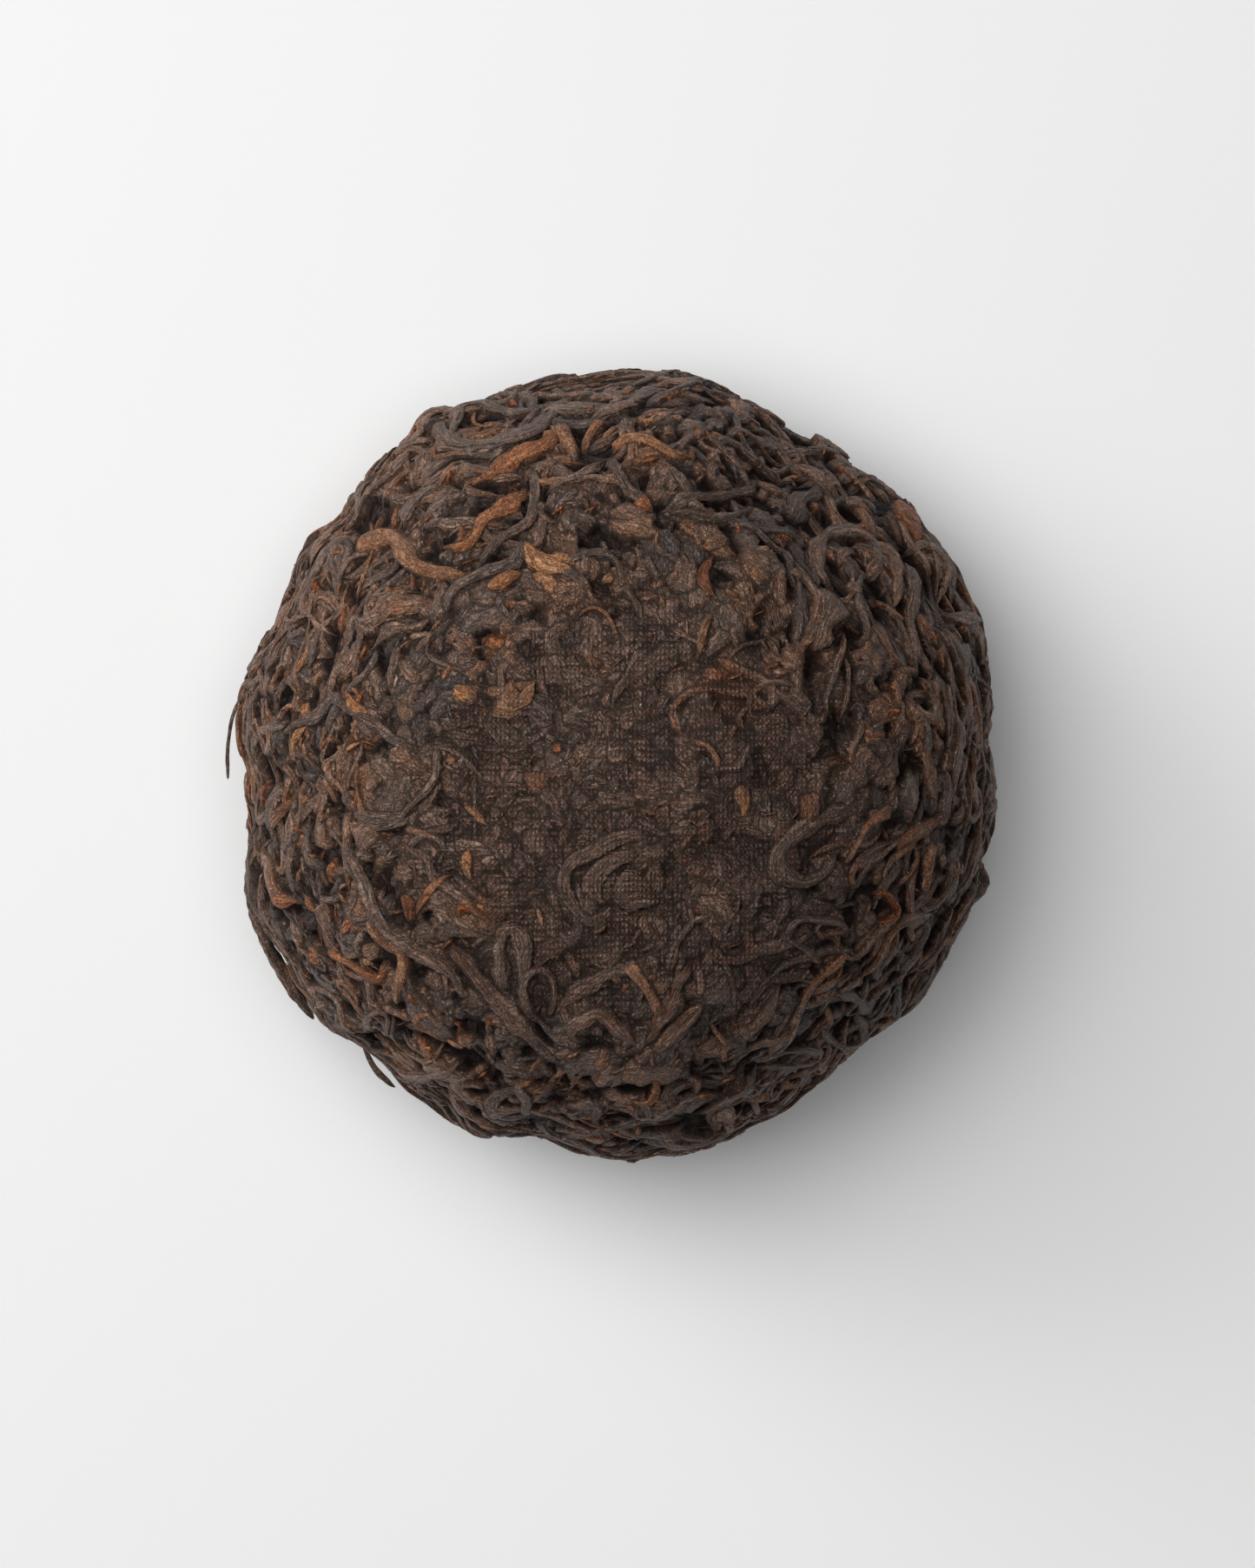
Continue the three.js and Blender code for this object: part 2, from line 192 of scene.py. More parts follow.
def girth_wave_at(angle):
    """How far the girth stands out or in, in a direction."""
    waves = sum(height * np.cos(n * (angle - math.radians(crest))) for n, height, crest in GIRTH_WAVES)
    for middle, width, height in SWELLS:
        away = (np.degrees(angle) - middle + 180) % 360 - 180
        waves = waves + height * np.exp(-0.5 * (away / width) ** 2)
    return waves


def smoothstep(value, low, high):
    """0 below a range and 1 above it, with a soft step between."""
    share = np.clip((value - low) / (high - low), 0, 1)
    return share * share * (3 - 2 * share)


def pressed(unit, angle, z):
    """The point of the form at a unit radius, a direction and a height."""
    lean = np.maximum(0, (z - WIDEST_Z) / (HEIGHT - WIDEST_Z))
    along_x, along_y = np.cos(angle) * unit, np.sin(angle) * unit
    x = along_x * HALF_WIDTH[0] + CROWN_SHIFT[0] * lean
    y = along_y * HALF_WIDTH[1] + CROWN_SHIFT[1] * lean
    swell = (lump_at(x, y, z) + girth_wave_at(angle) * unit**3) * smoothstep(z, 0, 4)
    size = np.maximum(1e-6, np.sqrt(along_x**2 + along_y**2 + lean**4))
    return np.stack([x + along_x / size * swell, y + along_y / size * swell, z + lean**2 / size * swell], -1)


def crown_height(unit):
    """Height of the crown's outline at a unit radius."""
    return WIDEST_Z + (HEIGHT - WIDEST_Z) * np.sqrt(1 - unit**CROWN_POWER)


def outline_of_form():
    """Unit radius and height from the crown, round the flank and the ring, to the top of the hollow."""
    turn = np.linspace(0, math.pi / 2, CROWN_POINTS)
    crown = np.stack([np.sin(turn), crown_height(np.minimum(1, np.sin(turn)))], -1)
    base = BASE_RADIUS / HALF_WIDTH[0]
    turn = np.linspace(0, math.pi / 2, 60)[1:]
    flank = np.stack([base + (1 - base) * np.cos(turn), WIDEST_Z * (1 - np.sin(turn))], -1)
    ring = np.array([[RING_INNER_RADIUS, 0], list(RING_EDGE)]) / [HALF_WIDTH[0], 1]
    r = np.linspace(MOUTH_RADIUS * 0.9, 0, 60)
    hollow = np.stack([r / HALF_WIDTH[0], HOLLOW_DEPTH * (1 - (r / MOUTH_RADIUS) ** HOLLOW_POWER)], -1)
    return np.concatenate([crown, flank, ring, hollow])


def gauss_blur(field, width):
    """A field blurred by a bell of this many cells, by its spectrum."""
    freq_y = np.fft.fftfreq(field.shape[0])[:, None]
    freq_x = np.fft.rfftfreq(field.shape[1])[None, :]
    bell = np.exp(-2 * (math.pi * width) ** 2 * (freq_x**2 + freq_y**2))
    return np.fft.irfft2(np.fft.rfft2(field) * bell, s=field.shape)


class Side:
    """One side of the form, laid flat from its pole by distance along the surface, with its height map."""

    def __init__(self, outline, outward, reach):
        self.unit, self.z = outline[:, 0], outline[:, 1]
        runs = np.hypot(np.diff(self.unit) * MEAN_HALF, np.diff(self.z))
        self.distance = np.concatenate([[0], np.cumsum(runs)])
        self.outward = outward
        self.reach = reach
        self.cells = 2 * int((reach + MAP_MARGIN) / CELL)
        self.height = np.zeros((self.cells, self.cells))
        self.marks = np.zeros((self.cells, self.cells, 4))  # tone, along, around and sink of the top leaf
        self.stretches = self.stretch(np.arange(0, reach + MAP_MARGIN, STRETCH_STEP)).tolist()

    def stretch(self, distance):
        """How much wider the chart is round the pole than the form."""
        radius = np.interp(distance, self.distance, self.unit) * MEAN_HALF
        return np.maximum(distance, 0.5) / np.maximum(radius, 0.5)

    def surface(self, chart):
        """The form's own points under places of the chart."""
        distance = np.hypot(chart[..., 0], chart[..., 1])
        unit = np.interp(distance, self.distance, self.unit)
        z = np.interp(distance, self.distance, self.z)
        return pressed(unit, np.arctan2(chart[..., 1], chart[..., 0]), z)

    def place(self, chart, height):
        """Points at a height above the form."""
        small = 0.4
        across = self.surface(chart + [small, 0]) - self.surface(chart - [small, 0])
        along = self.surface(chart + [0, small]) - self.surface(chart - [0, small])
        normal = np.cross(across, along) * self.outward
        normal /= np.maximum(1e-9, np.linalg.norm(normal, axis=-1, keepdims=True))
        return self.surface(chart) + normal * height[..., None]

    def convert(self, path, vectors, to_chart):
        """Vectors at points of the chart, from real lengths to the chart's or back."""
        distance = np.maximum(1e-6, np.hypot(path[..., 0], path[..., 1]))
        out = path / distance[..., None]
        radial = np.sum(vectors * out, -1, keepdims=True) * out
        factor = self.stretch(distance)[..., None]
        return radial + (vectors - radial) * (factor if to_chart else 1 / factor)

    def across(self, path):
        """Unit steps to the left of a path, as chart vectors."""
        tangent = self.convert(path, np.gradient(path, axis=0), to_chart=False)
        tangent /= np.maximum(1e-9, np.linalg.norm(tangent, axis=-1, keepdims=True))
        left = np.stack([-tangent[:, 1], tangent[:, 0]], -1)
        return self.convert(path, left, to_chart=True)

    def index(self, chart):
        """The cells of the height map that places lie in."""
        place = ((chart / CELL) + self.cells / 2).astype(int)
        return np.clip(place, 0, self.cells - 1)

    def read(self, field, chart):
        """A field of the chart at points, mixed from the four nearest cells."""
        place = np.clip(chart / CELL + self.cells / 2 - 0.5, 0, self.cells - 1.001)
        low = place.astype(int)
        share = place - low
        x0, y0, sx, sy = low[..., 0], low[..., 1], share[..., 0], share[..., 1]
        near = field[x0, y0] * (1 - sx) + field[x0 + 1, y0] * sx
        far = field[x0, y0 + 1] * (1 - sx) + field[x0 + 1, y0 + 1] * sx
        return near * (1 - sy) + far * sy

    def raise_to(self, chart, top, marks):
        """Raises the height map to a leaf where that is higher, and keeps the leaf's marks there."""
        order = np.argsort(top, axis=None)
        top = top.ravel()[order]
        at = self.index(chart).reshape(-1, 2)[order]
        higher = top > self.height[at[:, 0], at[:, 1]]
        at = at[higher]
        self.height[at[:, 0], at[:, 1]] = top[higher]
        self.marks[at[:, 0], at[:, 1]] = marks.reshape(-1, 4)[order][higher]


def make_sides():
    """The form's outside, from the crown's pole, and its underside, from the hollow's."""
    outline = outline_of_form()
    outside = Side(outline, 1, reach=OUTSIDE_REACH)
    underside = Side(outline[::-1], -1, reach=UNDERSIDE_REACH)
    return outside, underside


OUTSIDE, UNDERSIDE = make_sides()


# Leaves

class Kind(NamedTuple):
    """A kind of piece. A pair is a range that each piece draws from."""
    points: int  # round its section
    flat: float  # thickness over width
    blunt: tuple  # how blunt its ends are
    creases: tuple  # how many
    crease: float  # how deep they are
    seam: float  # how deep the seam is, where the leaf's edges meet
    rag: float  # how ragged its edges are


ROLLED = Kind(13, 0.52, (3, 9), (4, 8), 0.36, 0.45, 0.22)
BROAD = Kind(17, 0.3, (2.5, 6), (7, 13), 0.3, 0.4, 0.3)
THIN = Kind(9, 0.8, (4, 12), (2, 5), 0.25, 0.2, 0.16)
STALK = Kind(11, 0.8, (12, 20), (4, 7), 0.09, 0.1, 0.05)
BUD = Kind(12, 0.4, (1.6, 3), (5, 9), 0.3, 0.3, 0.35)
GOLDEN = Kind(13, 0.45, (3, 6), (5, 9), 0.3, 0.35, 0.3)
CRUMB = Kind(6, 0.6, (2, 6), (2, 4), 0.3, 0.0, 0.35)
COLOURED_PIECES = {BUD: "golden_buds", GOLDEN: "golden_buds", STALK: "stalks", CRUMB: "leaf_crumbs"}


def ease(values, width):
    """Values along a path smoothed over a width in millimetres."""
    reach = max(1, int(2 * width / STEP))
    bell = np.exp(-0.5 * (np.arange(-reach, reach + 1) * STEP / width) ** 2)
    padded = np.pad(values, reach, mode="edge")
    return np.convolve(padded, bell / bell.sum(), mode="valid")


def drift(count, length):
    """Random values of about size 1 along a path, that change over a length in millimetres."""
    return ease(rng.normal(size=count), length) * math.sqrt(2 * math.sqrt(math.pi) * length / STEP)


def ring_angles(count):
    """Angles round a section from the underside, with most of the points on the upper side."""
    upper = np.linspace(math.radians(-15), math.radians(195), count - 3)
    return np.concatenate([[math.radians(-90), math.radians(-45)], upper, [math.radians(225)]])


def section(kind, count):
    """The creased section at each point of a leaf, as sideways and upward offsets of about size 1."""
    angles = ring_angles(kind.points)[None, :]
    twist = np.linspace(0, count * STEP, count) * rng.normal(0, TWIST) + TWIST_WANDER * drift(count, 1.5)
    twist = twist[:, None]
    creases = rng.integers(*kind.creases)
    turn = 0.5 * creases * (angles + twist) + rng.uniform(0, 3.1)
    folds = kind.crease * (1 - np.abs(np.sin(turn))) ** 1.5
    seam_at = math.radians(rng.uniform(*SEAM_AT))
    from_seam = (angles - seam_at - twist + math.pi) % (2 * math.pi) - math.pi
    seam = kind.seam * np.exp(-((from_seam / SEAM_WIDTH) ** 2))
    lumps = LUMPINESS * rng.normal(size=(count, kind.points))
    lumps[1:-1] += 0.5 * (lumps[:-2] + lumps[2:])
    left, right = (1 + kind.rag * drift(count, EDGE_TEAR)[:, None] for _ in range(2))
    size = 1.05 - folds - seam + lumps
    return np.cos(angles) * size * np.where(np.cos(angles) > 0, left, right), np.sin(angles) * size


def finer(grid, times, axis):
    """A grid with this many steps between its points for each one, along one axis."""
    last = grid.shape[axis] - 1
    place = np.linspace(0, last, last * times + 1)
    low = np.minimum(place.astype(int), last - 1)
    shape = [1] * grid.ndim
    shape[axis] = -1
    share = (place - low).reshape(shape)
    return np.take(grid, low, axis) * (1 - share) + np.take(grid, low + 1, axis) * share


class Leaf:
    """A leaf, bud, stalk or crumb, as a path on one side with a width, a thickness and a grain."""

    def __init__(self, side, path, width, kind, tone, proud=0.0, skin=False):
        count = len(path)
        self.side = side
        self.path = path
        self.kind = kind
        self.proud = proud
        self.skin = skin
        share = np.linspace(0, 1, count)
        taper = np.maximum(FINEST_TIP, 1 - np.abs(2 * share - 1) ** rng.uniform(*kind.blunt))
        self.width = width * taper * np.maximum(0.5, 1 + WIDTH_CHANGE * drift(count, 1.5))
        self.thickness = self.width.max() * kind.flat * rng.uniform(0.85, 1.15) * taper**0.7
        self.tone = tone[0] + (tone[1] - tone[0]) * share
        self.sideways, self.upward = section(kind, count)
        self.grain_start = rng.uniform(0, 900, 2)
        self.along = np.arange(count) * STEP
        self.around = np.linspace(0, 2.4 * self.width.max(), kind.points + 1)
        self.rest = None  # the height that it lies at, once it is laid

    def surface(self, left):
        """Where the points of the leaf lie on the chart, and how high."""
        chart = self.path[:, None] + left[:, None] * (0.5 * self.width[:, None] * self.sideways)[..., None]
        return chart, self.rest[:, None] + self.thickness[:, None] * (0.5 + 0.5 * self.upward)

    def grain(self, columns):
        """Places along and around the leaf, in millimetres from a start of its own."""
        along, around = np.meshgrid(self.along, self.around[:columns], indexing="ij")
        return np.stack([along, around], -1) + self.grain_start

    def lay(self):
        """Lets the leaf sink onto what lies there already, and raises the height map by it."""
        left = self.side.across(self.path)
        spots = np.linspace(-0.4, 0.4, 5)
        under = self.path[:, None] + left[:, None] * (self.width[:, None] * spots)[..., None]
        at = self.side.index(under)
        found = self.side.height[at[..., 0], at[..., 1]]
        rest = 0.5 * found.max(axis=1) + 0.5 * found.mean(axis=1)
        rest = ease(np.maximum(rest, ease(rest, 1.6)), 0.9)
        tuck = np.linspace(-1, 1, len(self.path)) ** 6
        self.rest = rest - self.thickness.max() * (0.3 + 0.35 * tuck)
        chart, height = self.surface(left)
        columns = chart.shape[1]
        tone = np.repeat(self.tone[:, None], columns, axis=1)
        sink = np.full(height.shape, 0.0 if self.skin else SUNK)
        every = [chart, height[..., None], tone[..., None], self.grain(columns), sink[..., None]]
        spacing = 1.6 * self.width.max() / (columns - 3)
        fine = finer(np.concatenate(every, -1)[:, UPPER], 3, 0)
        fine = finer(fine, math.ceil(spacing / (0.65 * CELL)), 1)
        self.side.raise_to(fine[..., :2], fine[..., 2], fine[..., 3:])
        return self

    def shown(self):
        """The first and last points between which something laid later doesn't cover the leaf."""
        at = self.side.index(self.path)
        covered = self.side.height[at[:, 0], at[:, 1]] - (self.rest + self.thickness)
        seen = np.flatnonzero(covered < COVER)
        if len(seen) < 4:
            return None
        return max(0, seen[0] - 3), min(len(self.path), seen[-1] + 4)


def grain_direction(side, x, y):
    """The way leaves tend to lie: round the flank, and any way on the crown and in the hollow."""
    around = math.atan2(y, x) + math.pi / 2
    free = 1.0 - min(1.0, max(0.0, (math.hypot(x, y) - 14) / 18))
    wander = math.sin(x / 7.3 + 1.1) + math.sin(y / 6.1 + 0.4) + math.sin((x + y) / 10.7 + 2.0)
    return around + wander * (0.3 + 1.0 * free)


def walk(side, start, heading, bends, steer):
    """A path of even real steps that turns by the given bends and leans into the grain."""
    x, y = start
    path = []
    for bend in bends:
        path.append((x, y))
        distance = max(1e-3, math.hypot(x, y))
        if distance > side.reach:
            break
        stretch = side.stretches[int(distance / STRETCH_STEP)]
        out_x, out_y = x / distance, y / distance
        step_x, step_y = math.cos(heading), math.sin(heading)
        radial = step_x * out_x + step_y * out_y
        x += STEP * (radial * out_x + (step_x - radial * out_x) * stretch)
        y += STEP * (radial * out_y + (step_y - radial * out_y) * stretch)
        lean = math.sin(2 * (grain_direction(side, x, y) - heading)) if steer else 0.0
        heading += STEP * (bend + steer * lean)
    return np.array(path)


# Ways that a leaf bends sharply: how far it turns, over what share of its length, and where
HABITS = {
    "hook": ((1.6, 3.4), (0.08, 0.16), (0.78, 0.9)),
    "fold": ((2.7, 3.3), (0.05, 0.09), (0.35, 0.65)),
    "curl": ((2.4, 4.4), (0.2, 0.3), (0.5, 0.8)),
    "kink": ((0.6, 1.3), (0.02, 0.04), (0.2, 0.8)),
}


def random_bends(count, habit):
    """Turning per millimetre along a leaf: a wave, crinkles, and a sharp bend if that is its habit."""
    share = np.linspace(0, 1, count)
    wave = rng.uniform(0.02, 0.14) * np.sin(share * rng.uniform(2, 9) + rng.uniform(0, 6.3))
    wave = wave + 0.16 * drift(count, 0.6)
    way = rng.choice([-1, 1])
    if habit not in HABITS:
        return wave
    turn, width, at = (rng.uniform(*span) for span in HABITS[habit])
    bump = np.exp(-0.5 * ((share - at) / width) ** 2)
    length = count * STEP
    return wave + way * turn * bump / (width * math.sqrt(2 * math.pi) * length)


def even_start(side, inner, outer):
    """A place on a side between two distances from its pole, as likely anywhere on the real surface."""
    while True:
        distance = rng.uniform(inner, outer)
        radius = distance / side.stretches[int(distance / STRETCH_STEP)]
        if rng.uniform(0, MEAN_HALF) < radius:
            angle = rng.uniform(0, 2 * math.pi)
            return distance * math.cos(angle), distance * math.sin(angle)


def lowest_start(side, inner, outer, tries):
    """Of a few even places, the one that is covered least."""
    starts = [even_start(side, inner, outer) for _ in range(tries)]
    at = side.index(np.array(starts))
    return starts[int(np.argmin(side.height[at[:, 0], at[:, 1]]))]


def middle_distance(path):
    """How far the middle of a path is from the side's pole."""
    return np.hypot(*path[len(path) // 2])


def scatter(side, count, kind, lengths, widths, tones, zone, habits, steer=0.12, tries=3, skin=0.0):
    """Lays leaves of one kind at random; those nearer the pole than skin stay part of the skin."""
    laid = []
    names, odds = list(habits), np.array(list(habits.values()), float)
    for _ in range(count):
        length = rng.uniform(*lengths)
        start = lowest_start(side, *zone, tries)
        heading = grain_direction(side, *start) + rng.normal(0, HEADING_SPREAD) + rng.choice([0, math.pi])
        bends = random_bends(max(6, int(length / STEP)), rng.choice(names, p=odds / odds.sum()))
        path = walk(side, start, heading, bends, steer)
        if len(path) < 5:
            continue
        first = rng.uniform(*tones)
        tone = (first, first + rng.uniform(-TONE_CHANGE, TONE_CHANGE))
        near = middle_distance(path) < skin + rng.uniform(-SKIN_EDGE, SKIN_EDGE)
        laid.append(Leaf(side, path, rng.uniform(*widths), kind, tone, skin=near).lay())
    return laid


# Leaves placed by the photograph

def unit_from_above(x, y):
    """Unit radius and direction of the form's point under a point seen from above."""
    guess = np.array([x / HALF_WIDTH[0], y / HALF_WIDTH[1]])
    for _ in range(10):
        radius = min(0.998, math.hypot(*guess))
        angle = math.atan2(guess[1], guess[0])
        point = pressed(radius, angle, crown_height(radius))
        guess += [(x - point[0]) / HALF_WIDTH[0], (y - point[1]) / HALF_WIDTH[1]]
    return radius, angle, point[2]


def chart_of_pixel(pixel):
    """Where a pixel of the photograph lies on the outside chart."""
    z = 35.0  # a first guess
    for _ in range(4):
        scale = PIXEL * (CAMERA_RISE - (z - WIDEST_Z)) / CAMERA_RISE
        x = CAMERA_AT[0] - FORM_PLACE[0] + (pixel[0] - PHOTO_MIDDLE[0]) * scale
        y = CAMERA_AT[1] - FORM_PLACE[1] - (pixel[1] - PHOTO_MIDDLE[1]) * scale
        radius, angle, z = unit_from_above(x, y)
    distance = np.interp(radius, OUTSIDE.unit[:CROWN_POINTS], OUTSIDE.distance[:CROWN_POINTS])
    return distance * math.cos(angle), distance * math.sin(angle)


def smooth_path(points):
    """A Catmull-Rom curve through points, in even real steps of the outside chart."""
    points = np.array(points, float)
    ends = np.concatenate([[2 * points[0] - points[1]], points, [2 * points[-1] - points[-2]]])
    share = np.linspace(0, 1, 24, endpoint=False)[:, None]
    parts = []
    for a, b, c, d in zip(ends, ends[1:], ends[2:], ends[3:]):
        straight = 2 * b + (c - a) * share
        bent = (2 * a - 5 * b + 4 * c - d) * share**2 + (3 * b - a - 3 * c + d) * share**3
        parts.append(0.5 * (straight + bent))
    curve = np.concatenate(parts + [points[-1:]])
    real = OUTSIDE.convert(curve[1:], np.diff(curve, axis=0), to_chart=False)
    run = np.concatenate([[0], np.cumsum(np.linalg.norm(real, axis=1))])
    even = np.linspace(0, run[-1], max(6, int(run[-1] / STEP) + 1))
    return np.stack([np.interp(even, run, curve[:, 0]), np.interp(even, run, curve[:, 1])], -1)


